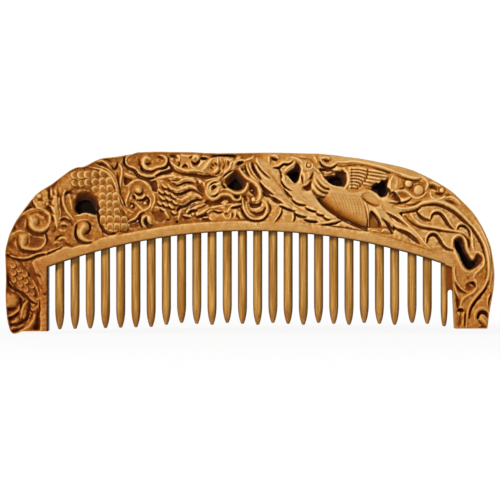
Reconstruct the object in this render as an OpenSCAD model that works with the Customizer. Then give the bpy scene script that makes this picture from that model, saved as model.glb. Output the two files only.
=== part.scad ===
// Carved wooden comb with separate teeth glued into drilled sockets.
// Millimetres. X runs along the comb, +Z is up with the teeth hanging down, -Y is the front face.
// The origin is on the ground under the middle of the comb.

/* [Board] */
// Overall length of the comb, from the left flank to the right flank
comb_l = 180; // [150:1:220]
// Overall height, from the lowest foot to the top edge
comb_h = 66.8; // [56:0.2:82]
// Thickness of the board
board_t = 10; // [8:0.5:14]
// Length of the left shoulder, from the left flank to the flat top
left_shoulder = 56; // [46:1:68]
// Length of the right shoulder, from the right flank to the flat top
right_shoulder = 65; // [54:1:78]
// Height at which the left shoulder starts to lean in
left_flank_h = 29; // [24:0.5:35]
// Height at which the right shoulder starts to lean in
right_flank_h = 22; // [18:0.5:27]

/* [Guards] */
// Width of the left guard, outside the first tooth
left_guard_w = 16.3; // [13:0.1:20]
// Width of the right guard, outside the last tooth
right_guard_w = 15.5; // [12:0.1:19]
// How far the flat of the left foot is above the ground
left_foot_h = 0.9; // [0.5:0.1:1.5]
// How far the right foot is above the ground
right_foot_h = 1.9; // [1:0.1:2.5]
// How far the right guard narrows from the arch down to its foot
right_lean = 1.1; // [0:0.1:2]

/* [Arch] */
// Height of the arch where it springs from the guards
arch_spring_h = 24.5; // [20:0.1:30]
// Rise of the arch from its springing to its crown
arch_rise = 13.2; // [10:0.1:16]
// Height of the plain band above the arch
band_h = 4.2; // [3:0.1:5.5]

/* [Teeth] */
// Number of teeth
tooth_count = 26; // [20:1:30]
// Diameter of a tooth
tooth_d = 3.4; // [2.7:0.1:4.1]
// Diameter of the thin last tooth
last_tooth_d = 2.6; // [2.1:0.1:3.2]
// Length of the pointed end of a tooth
point_l = 7; // [5:0.5:10]
// Radius of the rounded tip
tip_r = 0.75; // [0.5:0.05:0.95]
// Depth of the socket above the arch
socket_depth = 7; // [5:0.5:8.5]
// Gap for glue around a tooth in its socket
glue_gap = 0.05; // [0.03:0.01:0.1]
// Gap between the left guard and the side of the first tooth
first_gap = 2.4; // [1.8:0.1:3.2]
// Gap between the right guard and the side of the last tooth
last_gap = 1.4; // [1:0.1:2]
// Height of the first tooth's tip above the ground
first_tip_h = 1.5; // [1:0.1:2.5]
// Height of the tips along the rest of the row
row_tip_h = 3.5; // [3:0.1:4.6]
// Height of the last tooth's tip
last_tip_h = 2.6; // [2:0.1:3.6]
// Extra step before the last three teeth
late_step = 0.8; // [0:0.1:1]
// Extra step before the last tooth
last_step = 0.6; // [0:0.1:1]

/* [Carving] */
// Depth of the carved ground below the faces
ground_depth = 2.4; // [1.5:0.1:3]
// Width of the plain rim left along the outer edge
rim_w = 1.2; // [0.8:0.1:2]
// Height of the web that closes the top of the last slot
web_h = 9; // [6:0.5:11]
// Thickness of that web
web_t = 4; // [3:0.5:6]

/* [Hidden] */
$fn = 64;
half_l = comb_l / 2;
half_t = board_t / 2;
open_left = -half_l + left_guard_w;
open_right = half_l - right_guard_w;
open_mid = (open_left + open_right) / 2;
open_half = (open_right - open_left) / 2;
arch_r = (open_half * open_half + arch_rise * arch_rise) / (2 * arch_rise);
arch_mid_h = arch_spring_h + arch_rise - arch_r;
arch_steps = 48;
cut_over = 1;

// The teeth are spread between the guards. The last three stand a little apart.
late_teeth = 3;
tapered_teeth = 7;
first_x = open_left + first_gap + tooth_d / 2;
last_x = open_right - last_gap - last_tooth_d / 2;
tooth_pitch = (last_x - first_x - late_step - last_step) / (tooth_count - 1);
tip_wander = [0, -0.35, 0.35];

// Shoulders as shares of their own length and height, from the flank to the flat top.
left_curve = [[0, 0], [0.02, 0.13], [0.05, 0.25], [0.1, 0.39], [0.21, 0.585], [0.31, 0.685],
    [0.42, 0.805], [0.48, 0.848], [0.53, 0.857], [0.63, 0.93], [0.73, 0.952], [0.84, 0.98], [1, 1]];
right_curve = [[0, 0], [0.01, 0.13], [0.03, 0.26], [0.1, 0.46], [0.19, 0.605], [0.28, 0.712],
    [0.46, 0.846], [0.64, 0.91], [0.83, 0.96], [1, 0.985]];
// Feet: distance in from the flank, height above the ground.
left_foot = [[0.6, 19.7], [0.8, 12.3], [1.3, 5.7], [2.6, left_foot_h], [4.3, 0], [6.5, left_foot_h]];
right_foot = [[0.4, 16], [1.7, 8.6]];
right_foot_in = 2.6;

function mix(a, b, t) = a + (b - a) * t;
function arch_h(x) = arch_mid_h + sqrt(arch_r * arch_r - pow(x - open_mid, 2));
function tooth_x(i) = first_x + i * tooth_pitch
    + (i >= tooth_count - late_teeth ? late_step : 0)
    + (i == tooth_count - 1 ? last_step : 0);
function tooth_dia(i) = i == tooth_count - 1 ? last_tooth_d : tooth_d;
function tip_h(i) = i == tooth_count - 1 ? last_tip_h
    : i < tapered_teeth ? mix(first_tip_h, row_tip_h - 1, i / tapered_teeth)
    : row_tip_h + tip_wander[i % len(tip_wander)];

// A smooth curve through a list of points, with steps points for each span.
function spline_at(a, b, c, d, t) = 0.5 * (2 * b + (c - a) * t
    + (2 * a - 5 * b + 4 * c - d) * t * t + (3 * b - a - 3 * c + d) * t * t * t);
function curve(pts, steps) = let (last = len(pts) - 1)
    [for (i = [0 : last - 1]) for (k = [0 : steps - 1])
        spline_at(pts[max(i - 1, 0)], pts[i], pts[i + 1], pts[min(i + 2, last)], k / steps),
     pts[last]];
function reversed(pts) = [for (i = [len(pts) - 1 : -1 : 0]) pts[i]];

// The outer edge, from the left foot over the top to the right foot.
left_top = [for (p = left_curve) [-half_l + p[0] * left_shoulder,
    mix(left_flank_h, comb_h, p[1])]];
right_top = [for (p = right_curve) [half_l - p[0] * right_shoulder,
    mix(right_flank_h, comb_h, p[1])]];
left_low = [for (p = left_foot) [-half_l + p[0], p[1]]];
right_low = [for (p = right_foot) [half_l - p[0], p[1]]];
edge_steps = 3;
outer_edge = curve(concat(reversed(left_low), left_top, reversed(right_top), right_low,
    [[half_l - right_foot_in, right_foot_h]]), edge_steps);
top_edge = curve(concat(left_top, reversed(right_top)), edge_steps);
inner_edge = concat([[open_left, left_foot_h]],
    [for (i = [0 : arch_steps]) let (x = mix(open_left, open_right, i / arch_steps)) [x, arch_h(x)]],
    [[open_right + right_lean, right_foot_h]]);

function top_h(x) = lookup(x, top_edge);
// A place in the carved crest: share of the half length from the middle, share of the way from
// the band to the top edge.
function crest(along, share) = let (x = along * half_l)
    [x, mix(arch_h(x) + band_h, top_h(x), share)];

// An oval with its long axis turned by tilt.
function oval(c, w, h, tilt) = [for (a = [0 : 15 : 345])
    c + [w / 2 * cos(a) * cos(tilt) - h / 2 * sin(a) * sin(tilt),
         w / 2 * cos(a) * sin(tilt) + h / 2 * sin(a) * cos(tilt)]];

// The direction square to a path at point i, to the left of travel.
function side(pts, i) = let (d = pts[min(i + 1, len(pts) - 1)] - pts[max(i - 1, 0)])
    [-d[1], d[0]] / norm(d);

// Openings cut through the crest: centre, width, height and tilt.
// The last two meet at the bottom in a V.
piercings = [
    [crest(-0.667, 0.47), 8, 5.6, 0],
    [crest(-0.05, 0.54), 6.8, 5, 20],
    [crest(0.183, 0.65), 4.2, 4.6, 0],
    [crest(0.35, 0.63), 5.4, 3.6, 0],
    [crest(0.533, 0.64), 4.8, 5.8, 40],
    [[half_l - 12, right_flank_h + 7.3], 3.6, 13, 27],
    [[half_l - 7.2, right_flank_h + 3.6], 3.2, 6.5, -42]];

// Carved masses left standing above the ground: centre, width, height and tilt.
dragon = [
    [crest(-0.78, 0.45), 6, 15, -10],
    [crest(-0.66, 0.8), 22, 8, 8],
    [crest(-0.54, 0.42), 10, 22, 14],
    [[-half_l + 9, left_flank_h - 10], 5, 18, 38],
    [crest(-0.22, 0.6), 22, 12, 8],
    [crest(-0.14, 0.24), 20, 6, 0]];
phoenix = [
    [crest(0.13, 0.58), 8, 22, 38],
    [crest(0.27, 0.34), 8, 18, 42],
    [crest(0.38, 0.42), 20, 9, -22],
    [crest(0.44, 0.8), 14, 6, -12],
    [crest(0.6, 0.4), 18, 5, -10],
    [[half_l - 17, right_flank_h + 17], 16, 5, -32],
    [[half_l - 8, right_foot_h + 10], 5, 16, -8]];
clouds = [
    [[-half_l + 12.5, left_flank_h + 10], 11, 11, 0],
    [[-half_l + 9, left_flank_h + 3], 11, 11, 0],
    [crest(-0.667, 0.06), 8, 8, 0],
    [crest(-0.4, 0.82), 12, 12, 0],
    [crest(-0.444, 0.4), 9, 9, 0],
    [crest(-0.411, 0.08), 7, 7, 0],
    [crest(0.733, 0.72), 7, 7, 0]];

function tooth_name(i) = str("tooth_", i < 10 ? "0" : "", i);

// A flat outline in X and Z, raised through the board from y0 to y1.
module slab(y0, y1) {
    translate([0, y1, 0]) rotate([90, 0, 0]) linear_extrude(y1 - y0) children();
}

module board_outline() {
    polygon(concat(outer_edge, reversed(inner_edge)));
}

// The field that is carved down, inside the rim, the band and the feet.
module carved_field() {
    outside = [for (i = [0 : len(outer_edge) - 1]) outer_edge[i] - side(outer_edge, i) * rim_w];
    arch = [for (i = [1 : len(inner_edge) - 2]) inner_edge[i] + [0, band_h]];
    left_in = [open_left - rim_w, left_foot_h + rim_w];
    right_in = [open_right + rim_w, arch_spring_h];
    right_corner = [open_right + right_lean + rim_w, right_foot_h + rim_w];
    polygon(concat(outside, [right_corner, right_in], reversed(arch),
        [[left_in[0], arch_spring_h], left_in]));
}

module ovals(list) {
    for (p = list) polygon(oval(p[0], p[1], p[2], p[3]));
}

// A vertical round hole for tooth i, open at the arch.
module socket(i, depth, gap) {
    x = tooth_x(i);
    low = right_foot_h;
    translate([x, 0, low]) cylinder(d = tooth_dia(i) + 2 * gap, h = arch_h(x) + depth - low);
}

module last_web() {
    x = tooth_x(tooth_count - 1);
    slab(-web_t / 2, web_t / 2)
        polygon([[x, arch_spring_h - web_h], [open_right + cut_over, arch_spring_h - web_h],
            [open_right + cut_over, arch_spring_h + cut_over], [x, arch_h(x) + cut_over]]);
}

module ground(y0, y1) {
    slab(y0, y1) difference() {
        carved_field();
        ovals(concat(dragon, phoenix, clouds));
    }
}

module back() {
    color("#c4925a") difference() {
        union() {
            slab(-half_t, half_t) board_outline();
            last_web();
        }
        ground(-half_t - cut_over, -half_t + ground_depth);
        ground(half_t - ground_depth, half_t + cut_over);
        slab(-half_t - cut_over, half_t + cut_over) ovals(piercings);
        for (i = [0 : tooth_count - 1]) socket(i, socket_depth, glue_gap);
    }
}

// A whittled rod: straight in the socket, then a long rounded point.
module tooth(i) {
    x = tooth_x(i);
    r = tooth_dia(i) / 2;
    top = arch_h(x) + socket_depth - glue_gap;
    tip = tip_h(i);
    point_steps = 8;
    profile = [for (k = [0 : point_steps]) let (t = k / point_steps)
        [tip_r + (r - tip_r) * sin(90 * pow(t, 0.8)), tip + tip_r + (point_l - tip_r) * t]];
    round_steps = 4;
    nose = [for (k = [0 : round_steps - 1]) let (a = 90 * k / round_steps)
        [tip_r * sin(a), tip + tip_r - tip_r * cos(a)]];
    color("#b98447") translate([x, 0, 0]) rotate_extrude()
        polygon(concat(nose, profile, [[r, top], [0, top]]));
}

back();
for (i = [1 : tooth_count]) tooth(i - 1);
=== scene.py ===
import math

import bmesh
import bpy
import mathutils
import numpy as np
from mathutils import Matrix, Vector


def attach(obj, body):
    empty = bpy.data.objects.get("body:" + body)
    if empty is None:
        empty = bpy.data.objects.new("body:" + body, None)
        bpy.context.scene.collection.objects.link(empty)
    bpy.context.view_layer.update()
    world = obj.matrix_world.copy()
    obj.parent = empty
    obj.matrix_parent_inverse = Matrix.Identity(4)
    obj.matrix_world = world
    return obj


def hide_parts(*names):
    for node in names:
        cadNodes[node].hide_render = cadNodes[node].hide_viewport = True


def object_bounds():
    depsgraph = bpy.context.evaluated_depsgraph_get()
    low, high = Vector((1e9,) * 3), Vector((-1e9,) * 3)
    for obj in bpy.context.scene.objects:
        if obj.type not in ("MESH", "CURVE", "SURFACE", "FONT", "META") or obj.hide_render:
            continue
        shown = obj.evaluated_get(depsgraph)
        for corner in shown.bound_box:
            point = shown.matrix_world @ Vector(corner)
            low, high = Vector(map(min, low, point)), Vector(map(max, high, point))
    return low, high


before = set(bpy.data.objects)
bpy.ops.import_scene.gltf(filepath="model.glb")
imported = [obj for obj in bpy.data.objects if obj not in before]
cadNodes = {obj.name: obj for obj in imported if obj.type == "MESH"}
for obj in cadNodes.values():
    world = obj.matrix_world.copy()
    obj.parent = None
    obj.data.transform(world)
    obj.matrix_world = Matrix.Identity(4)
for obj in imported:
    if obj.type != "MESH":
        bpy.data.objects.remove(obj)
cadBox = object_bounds()
scene = bpy.context.scene
print("frame loaded,", len(cadNodes), "CAD nodes")

mm = 0.001
mathNode, vectorNode, rangeNode = "ShaderNodeMath", "ShaderNodeVectorMath", "ShaderNodeMapRange"
# where the photo's pixels lie on the comb
photoView = {"mmPerPixel": 0.368, "midColumn": 249.0, "groundRow": 333.5}


def toComb(points):
    # photo pixels to millimetres along the comb and up from its feet
    p = np.asarray(points, float)
    k = photoView["mmPerPixel"]
    return np.stack([(p[..., 0] - photoView["midColumn"]) * k, (photoView["groundRow"] - p[..., 1]) * k], -1)


def toPhoto(points):
    p = np.asarray(points, float)
    k = photoView["mmPerPixel"]
    return np.stack([p[..., 0] / k + photoView["midColumn"], photoView["groundRow"] - p[..., 1] / k], -1)


def linear(hexColour):
    value = [int(hexColour[i:i + 2], 16) / 255 for i in (1, 3, 5)]
    return tuple(v / 12.92 if v <= 0.04045 else ((v + 0.055) / 1.055)**2.4 for v in value) + (1.0,)


def add(tree, kind, sockets=None, **settings):
    # a node given for a socket stands for its first output
    node = tree.nodes.new(kind)
    for name, value in settings.items():
        setattr(node, name, value)
    for name, value in (sockets or {}).items():
        if isinstance(value, bpy.types.Node):
            value = value.outputs[0]
        if isinstance(value, bpy.types.NodeSocket):
            tree.links.new(value, node.inputs[name])
        else:
            node.inputs[name].default_value = value
    return node


def newObject(name, data):
    made = bpy.data.objects.new(name, data)
    scene.collection.objects.link(made)
    return made


def setAttribute(mesh, name, values):
    mesh.attributes.new(name, "FLOAT", "POINT").data.foreach_set("value", np.asarray(values, np.float32))


def loftedMesh(name, rings):
    # rings of points joined side to side and closed at both ends
    bm = bmesh.new()
    rows = [[bm.verts.new(point) for point in ring] for ring in rings]
    for low, high in zip(rows, rows[1:]):
        for i in range(len(low)):
            j = (i + 1) % len(low)
            bm.faces.new((low[i], low[j], high[j], high[i]))
    bm.faces.new(rows[-1])
    bm.faces.new(list(reversed(rows[0])))
    bmesh.ops.recalc_face_normals(bm, faces=bm.faces)
    mesh = bpy.data.meshes.new(name)
    bm.to_mesh(mesh)
    bm.free()
    return mesh


# the carving is drawn on a height field: photo pixels across and down, millimetres below the face
reliefGrid = {"left": 0.0, "top": 146.0, "right": 500.0, "bottom": 338.0, "perPixel": 4}
levels = {"ground": -0.65, "dragonGround": -1.3, "dragonEnds": 268.0, "groundRise": 22.0, "sunk": -0.45,
          "deepest": -3.7, "softTop": 0.35}
modelling = {"rib": 1.5, "cut": 0.9, "valley": 1.0, "valleyWidth": 2.0, "toolMarks": 0.1, "markWidth": 0.9,
             "markSeed": 5, "markDepth": 0.6, "markFade": 0.5,
             "hairWidth": 0.6, "hairDepth": 0.4, "hairEvery": 4}
# a stroke's profile in shares of its width, then soft borders and margins in photo pixels
gouge = {"ribSide": 1.4, "ribCrest": 1.2, "cutSide": 1.1, "cutFloor": 1.5, "endShare": 0.35, "thinnest": 0.05,
         "border": 0.6, "margin": 1.0, "slowWall": 2.4, "scrapeFade": 3.0}
# the ring cut round a bead: gap and half width in photo pixels, and its depth
beadRing = {"gap": 0.5, "half": 0.9, "depth": 0.45}

gridRows = int((reliefGrid["bottom"] - reliefGrid["top"]) * reliefGrid["perPixel"])
gridColumns = int((reliefGrid["right"] - reliefGrid["left"]) * reliefGrid["perPixel"])
base = np.full((gridRows, gridColumns), levels["ground"])
ribs = np.zeros_like(base)
rough = np.ones_like(base)
cuts = np.zeros_like(base)


def smooth(t):
    t = np.clip(t, 0.0, 1.0)
    return t * t * (3.0 - 2.0 * t)


def pathThrough(points, closed=False, step=0.8):
    # a smooth curve through the points, cut into short steps of photo pixels
    p = np.array(points, float)
    if closed:
        p = np.vstack([p[-1], p, p[0], p[1]])
    else:
        p = np.vstack([2 * p[0] - p[1], p, 2 * p[-1] - p[-2]])
    out = []
    for a, b, c, d in zip(p, p[1:], p[2:], p[3:]):
        count = max(2, int(np.hypot(*(c - b)) / step))
        t = np.linspace(0.0, 1.0, count, endpoint=False)[:, None]
        out.append(0.5 * (2 * b + (c - a) * t + (2 * a - 5 * b + 4 * c - d) * t**2
                          + (3 * b - a - 3 * c + d) * t**3))
    out.append(p[-2][None])
    return np.vstack(out)


def window(low, high, reach):
    # the rows and columns of the grid within reach of a box
    k = reliefGrid["perPixel"]
    c0 = max(0, int((low[0] - reach - reliefGrid["left"]) * k))
    c1 = min(gridColumns, int((high[0] + reach - reliefGrid["left"]) * k) + 2)
    r0 = max(0, int((low[1] - reach - reliefGrid["top"]) * k))
    r1 = min(gridRows, int((high[1] + reach - reliefGrid["top"]) * k) + 2)
    return r0, r1, c0, c1


def gridPoints(r0=0, r1=gridRows, c0=0, c1=gridColumns):
    k = reliefGrid["perPixel"]
    x = reliefGrid["left"] + (np.arange(c0, c1) + 0.5) / k
    y = reliefGrid["top"] + (np.arange(r0, r1) + 0.5) / k
    return x[None, :], y[:, None]


def nearPath(path, reach):
    # distance to the path, and the share of its length at the nearest point
    r0, r1, c0, c1 = window(path.min(0), path.max(0), reach)
    distance = np.full((max(r1 - r0, 0), max(c1 - c0, 0)), 1e6)
    along = np.zeros_like(distance)
    steps = np.hypot(*np.diff(path, axis=0).T)
    run = np.concatenate([[0.0], np.cumsum(steps)])
    for i in range(len(path) - 1):
        a, b = path[i], path[i + 1]
        s0, s1, t0, t1 = window(np.minimum(a, b), np.maximum(a, b), reach)
        s0, s1, t0, t1 = max(s0, r0), min(s1, r1), max(t0, c0), min(t1, c1)
        if s1 <= s0 or t1 <= t0:
            continue
        x, y = gridPoints(s0, s1, t0, t1)
        d = b - a
        t = np.clip(((x - a[0]) * d[0] + (y - a[1]) * d[1]) / max(d @ d, 1e-9), 0.0, 1.0)
        gap = np.hypot(x - a[0] - t * d[0], y - a[1] - t * d[1])
        part = (slice(s0 - r0, s1 - r0), slice(t0 - c0, t1 - c0))
        closer = gap < distance[part]
        distance[part] = np.where(closer, gap, distance[part])
        along[part] = np.where(closer, (run[i] + t * steps[i]) / run[-1], along[part])
    return (slice(r0, r1), slice(c0, c1)), distance, along


def insideOf(path, cells):
    # even-odd test, one edge at a time
    x, y = gridPoints(cells[0].start, cells[0].stop, cells[1].start, cells[1].stop)
    inside = np.zeros((y.shape[0], x.shape[1]), bool)
    for a, b in zip(path, np.roll(path, -1, axis=0)):
        if a[1] == b[1]:
            continue
        crosses = (a[1] > y) != (b[1] > y)
        inside ^= crosses & (x < (b[0] - a[0]) * (y - a[1]) / (b[1] - a[1]) + a[0])
    return inside


def taper(width):
    if isinstance(width, tuple):
        return width
    end = gouge["endShare"] * width
    return (end, width, width, width, end)


def stroke(layer, width, height, *points):
    # a crested ridge or a gouged groove, that thins and fades to its ends
    widths = taper(width)
    cells, distance, along = nearPath(pathThrough(points), gouge["ribSide"] * max(widths))
    w = np.maximum(np.interp(along, np.linspace(0.0, 1.0, len(widths)), widths), gouge["thinnest"])
    if layer is ribs:
        shape = np.clip(1.0 - distance / (gouge["ribSide"] * w), 0.0, 1.0)**gouge["ribCrest"]
    else:
        shape = np.clip(1.0 - (distance / (gouge["cutSide"] * w))**gouge["cutFloor"], 0.0, 1.0)
    fade = np.sqrt(w / max(widths))
    layer[cells] = np.maximum(layer[cells], height * fade * shape)


def strokeAt(layer, x, y, width, height, *offsets):
    stroke(layer, width, height, *[(x + dx, y + dy) for dx, dy in offsets])


def layOver(cells, body, inward):
    # lays a body on the ground, with a soft border
    cover = smooth((inward + gouge["border"]) / (2.0 * gouge["border"]))
    base[cells] = base[cells] * (1.0 - cover) + body * cover


def tube(widths, level, dome, points):
    # a rounded body, level at its sides and domed along its middle
    cells, distance, along = nearPath(pathThrough(points), max(widths) + gouge["margin"])
    w = np.interp(along, np.linspace(0.0, 1.0, len(widths)), widths)
    body = level + dome * np.sqrt(np.clip(1.0 - (distance / w)**2, 0.0, 1.0))
    layOver(cells, body, w - distance)


def outlineField(points, reach):
    # depth inside a closed outline, less than none outside it
    path = pathThrough(points, closed=True)
    cells, distance, _ = nearPath(path, reach)
    inside = insideOf(path, cells)
    return cells, np.where(inside, 1.0, -1.0) * np.minimum(distance, reach)


def mass(level, dome, edge, points, swell=0.5):
    # a closed shape that is level at its outline and rounds up over its edge, slowly where swell is 1
    cells, depth = outlineField(points, edge + gouge["margin"])
    q = np.clip(depth / edge, 0.0, 1.0)
    layOver(cells, level + dome * (1.0 - (1.0 - q)**2)**swell, depth)


def sink(floor, wall, points, lip=0.62):
    # a hollow with a steep lip, then a slower fall to its floor
    slow = gouge["slowWall"] * wall
    cells, depth = outlineField(points, slow + gouge["margin"])
    down = lip * smooth(depth / wall) + (1.0 - lip) * smooth(depth / slow)
    base[cells] = np.minimum(base[cells], base[cells] * (1.0 - down) + floor * down)


def ball(x, y, radius, height):
    # a round bead in a shallow ring
    r0, r1, c0, c1 = window((x, y), (x, y), radius + beadRing["gap"] + beadRing["half"])
    px, py = gridPoints(r0, r1, c0, c1)
    q = np.hypot(px - x, py - y) / radius
    part = (slice(r0, r1), slice(c0, c1))
    ribs[part] = np.maximum(ribs[part], height * np.sqrt(np.clip(1.0 - q * q, 0.0, 1.0)))
    ring = np.clip(1.0 - ((q * radius - radius - beadRing["gap"]) / beadRing["half"])**2, 0.0, 1.0)
    cuts[part] = np.maximum(cuts[part], beadRing["depth"] * ring)


def carve(motif):
    # bodies are listed as these functions take them, and strokes as width, height or depth, then points
    for kind, shape in (("tubes", tube), ("masses", mass), ("sinks", sink)):
        for item in motif.get(kind, []):
            shape(*item)
    for item in motif.get("ribs", []):
        stroke(ribs, *item)
    for width, depth, *points in motif.get("cuts", []):
        stroke(cuts, width, depth * motif.get("cutShare", 1.0), *points)
    for widths, height, points, lines in motif.get("strands", []):
        stroke(ribs, widths, height, *points)
        path = pathThrough(points)
        side = np.gradient(path, axis=0)[:, ::-1] * (-1.0, 1.0)
        side /= np.hypot(*side.T)[:, None]
        for offset in lines:
            hair = (path + offset * side)[::modelling["hairEvery"]]
            stroke(cuts, modelling["hairWidth"], modelling["hairDepth"], *hair)
    for points in motif.get("scraped", []):
        cells, depth = outlineField(points, gouge["scrapeFade"])
        rough[cells] *= 1.0 - smooth(depth / gouge["scrapeFade"] + 1.0)
    for item in motif.get("balls", []):
        ball(*item)


# the plain band over the teeth, and the plain rim along the top on the right
bandAndRim = {"masses": [
    (-0.92, 0.08, 1.5, [(47, 280), (43, 270), (39, 262), (42, 256.8), (48, 255), (54, 252.4), (60, 249.4),
     (66, 246.6), (73, 247.4), (80, 245.2), (88, 243.6), (96, 240.8), (105, 237.2), (130, 232.8),
     (150, 229), (175, 225), (200, 222.6), (220, 221.6), (240, 221), (260, 221.2), (280, 222),
     (300, 223.6), (320, 225.5), (340, 227.5), (360, 230.3), (375, 233), (390, 236.3), (402, 240),
     (415, 244), (428, 248.5), (440, 252.5), (451, 258), (454, 272), (438, 267), (420, 259), (400, 252),
     (370, 245), (340, 239), (300, 235.5), (250, 234), (200, 235.5), (160, 239.5), (130, 245.5),
     (100, 255), (70, 264)]),
    (-0.95, 0.2, 2, [(330, 150), (372, 156), (404, 163), (430, 172), (428, 181), (420, 179), (410, 178),
     (398, 174), (385, 169), (370, 165), (355, 162.5), (336, 162.5)]),
]}

leftClouds = {"cutShare": 0.66, "masses": [
    (-1.5, 0.5, 5, [(16, 222), (24, 213), (36, 208), (47, 210), (52, 218), (48, 229), (39, 232), (30, 230)]),
    (-1.5, 0.5, 5, [(9, 240), (17, 232), (28, 231), (40, 235), (47, 240), (43, 249), (30, 251), (15, 250)]),
    (-1, 0.5, 4, [(32, 201), (38, 194), (47, 190), (50, 198), (48, 206), (43, 209), (37, 208)]),
    (-0.8, 0.35, 3, [(52, 205), (57, 190), (62, 186), (60.5, 204), (62, 214), (58, 228), (54, 220)]),
], "sinks": [
    (-2, 2.6, [(29, 213.5), (34, 211), (40, 210.3), (46, 211.8), (49.6, 216), (49.8, 221.5), (47, 225.5),
     (45.5, 220), (42.5, 216.5), (37, 214.5), (31.5, 216.5)]),
    (-1.9, 2.8, [(30, 235), (36, 235.5), (42, 236.5), (45, 240), (43.5, 245), (38, 248), (31, 247.8),
     (28.6, 244.5), (30, 240)]),
    (-1.8, 2.6, [(18, 219), (24, 214.5), (28.5, 215), (27.5, 221), (25, 227), (19, 229), (16.5, 224)]),
    (-1.8, 2.4, [(10, 241), (14, 236.5), (17.5, 237), (17, 244), (19.5, 250), (12, 250), (9, 246)]),
    (-2.3, 1.8, [(59.8, 187), (63, 186), (64.3, 190), (62.8, 198), (63.8, 206), (66.5, 212.5), (62.5, 211),
     (60.3, 202)]),
], "ribs": [
    ((2.8, 3.6, 3), 0.75, (32.5, 219), (33.5, 221.5), (33.5, 224)),
    ((2.8, 3.6, 3), 0.75, (23.3, 237.5), (24, 240), (24.3, 243)),
    ((3.6, 3.6, 2.8, 1.9, 1.5, 1.3, 1.2, 1.2, 1.1, 1, 0.8), 0.7, (35, 220.5), (33.3, 223), (33.8, 226.8),
     (37, 229.8), (41.5, 230.8), (46.5, 229), (50, 224.5), (51.3, 218.5), (49.5, 213), (45, 210),
     (38, 208.5), (31, 209.7), (25, 213), (20, 217.5)),
    (1.3, 0.6, (9.5, 238.5), (14, 233.8), (20, 231), (26, 231.5)),
    ((3.5, 3.5, 2.8, 1.9, 1.5, 1.3, 1.2, 1.1, 0.8), 0.7, (24.8, 237.5), (23.6, 240.5), (23, 244),
     (25, 247.7), (29.5, 249.3), (36, 249.5), (41.5, 248), (45.3, 244), (46.6, 239), (44.8, 234.5)),
    (1.4, 0.6, (8, 252.5), (12, 256), (20, 258), (27, 258), (33, 256), (39, 253.2), (46, 252.3),
     (52, 250.3), (59, 248), (63, 245)),
    (1.1, 0.5, (34.5, 200.5), (35.5, 205), (38.5, 208)),
    (1.7, 0.6, (52.6, 188.5), (52.3, 193), (53, 197.3)),
    (1.4, 0.5, (56, 190), (57, 194), (57.4, 198)),
    (1.5, 0.5, (48.5, 202.5), (51, 206), (54, 209), (56, 213)),
    (1.3, 0.55, (55, 215), (56.5, 219), (57.8, 224)),
    (1.4, 0.8, (66.5, 190.3), (64.5, 194), (64, 200), (65.2, 206), (67.8, 211.5), (71.3, 216), (75, 221)),
    (1.2, 0.45, (60, 219.5), (63.5, 217.3), (67.5, 217.8), (71, 220.5)),
    (1, 0.45, (59.5, 229), (63, 231), (67, 230.3)),
    ((0.7, 1.6, 1.9, 1.4, 0.6), 0.5, (60.5, 225.3), (63, 223.3), (66.3, 223.6), (69, 226)),
    ((0.7, 1.6, 1.9, 1.4, 0.6), 0.5, (59.5, 239.6), (62, 237.6), (65.3, 237.8), (67.5, 240)),
    (1.1, 0.4, (54.5, 243.8), (57.5, 242), (60.5, 243)),
    (1.2, 0.45, (70.5, 196), (71.5, 203), (73, 210)),
], "cuts": [
    ((0.8, 2, 2.6, 2.2, 0.8), 1.4, (28.3, 219), (28.3, 226), (31, 231), (36, 234.2), (41.5, 234.5),
     (46, 232.6), (49, 229)),
    (1, 0.8, (35.5, 214.8), (39, 218.5), (39.9, 223), (37.9, 226.6)),
    ((0.8, 1.6, 2.2, 2, 0.8), 1.4, (18.6, 236), (18.4, 242), (20, 247), (24, 250.8), (30.5, 251.9),
     (37, 252.4), (42.5, 251)),
    (1.1, 0.8, (28.3, 236.5), (29, 240.5), (27.5, 245), (25.2, 245.6)),
    ((1, 1.6, 1.3, 0.9, 0.6), 1.6, (8, 255), (14, 258.5), (24, 260.3), (32, 258.8), (38, 255.8),
     (47, 254.6), (55, 251), (62, 247.8)),
    (1.4, 1.7, (32.5, 200), (34, 204), (36.5, 208.5)),
    (1.5, 1.5, (38.5, 200.7), (41, 200), (44, 201)),
    (1, 1.3, (50.3, 187), (49.7, 193), (49.5, 198.3), (52, 199.3), (54.8, 198.6)),
    (1.1, 1.3, (50.3, 202.5), (52.5, 205.5), (56, 206.6)),
    (1.5, 1.6, (47, 209), (50.5, 208.3), (52, 211.5), (54.8, 214.8)),
    (1.2, 1.4, (52.8, 215.5), (54, 219), (55.2, 223)),
    (1, 1, (56, 224), (56.3, 229), (54, 232.5)),
    (1, 0.8, (58.5, 184), (58.6, 194), (59, 204), (60, 213), (59.5, 221)),
    (1.4, 1.7, (65.8, 194.7), (69, 192.5), (74, 193.8)),
    (0.9, 0.7, (68, 201.5), (69.3, 204.5)),
    (1.2, 1.6, (60.5, 220.7), (64, 218.7), (69, 220), (73.5, 225)),
    (0.9, 1.1, (62.3, 227.2), (65, 225.7), (68, 227.5)),
    (1, 1.4, (55.5, 240.7), (59.5, 236.5), (65.5, 235.3)),
    (0.8, 0.9, (60, 240.3), (62.5, 241), (65, 240)),
    (0.9, 1.2, (65.5, 242.3), (69.5, 245), (74, 247)),
    (0.8, 0.9, (56, 244.7), (59, 246.6)),
    (1, 1.2, (11, 229), (14, 226), (16, 230)),
    (1.4, 1.5, (25, 211), (29, 208.3), (33, 207.2)),
    (1.3, 1.3, (45, 231.5), (46.5, 234.5), (48, 240), (46.8, 245)),
], "balls": [(40, 196, 2.6, 0.35), (48.3, 204.5, 1.7, 0.3)]}

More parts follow.
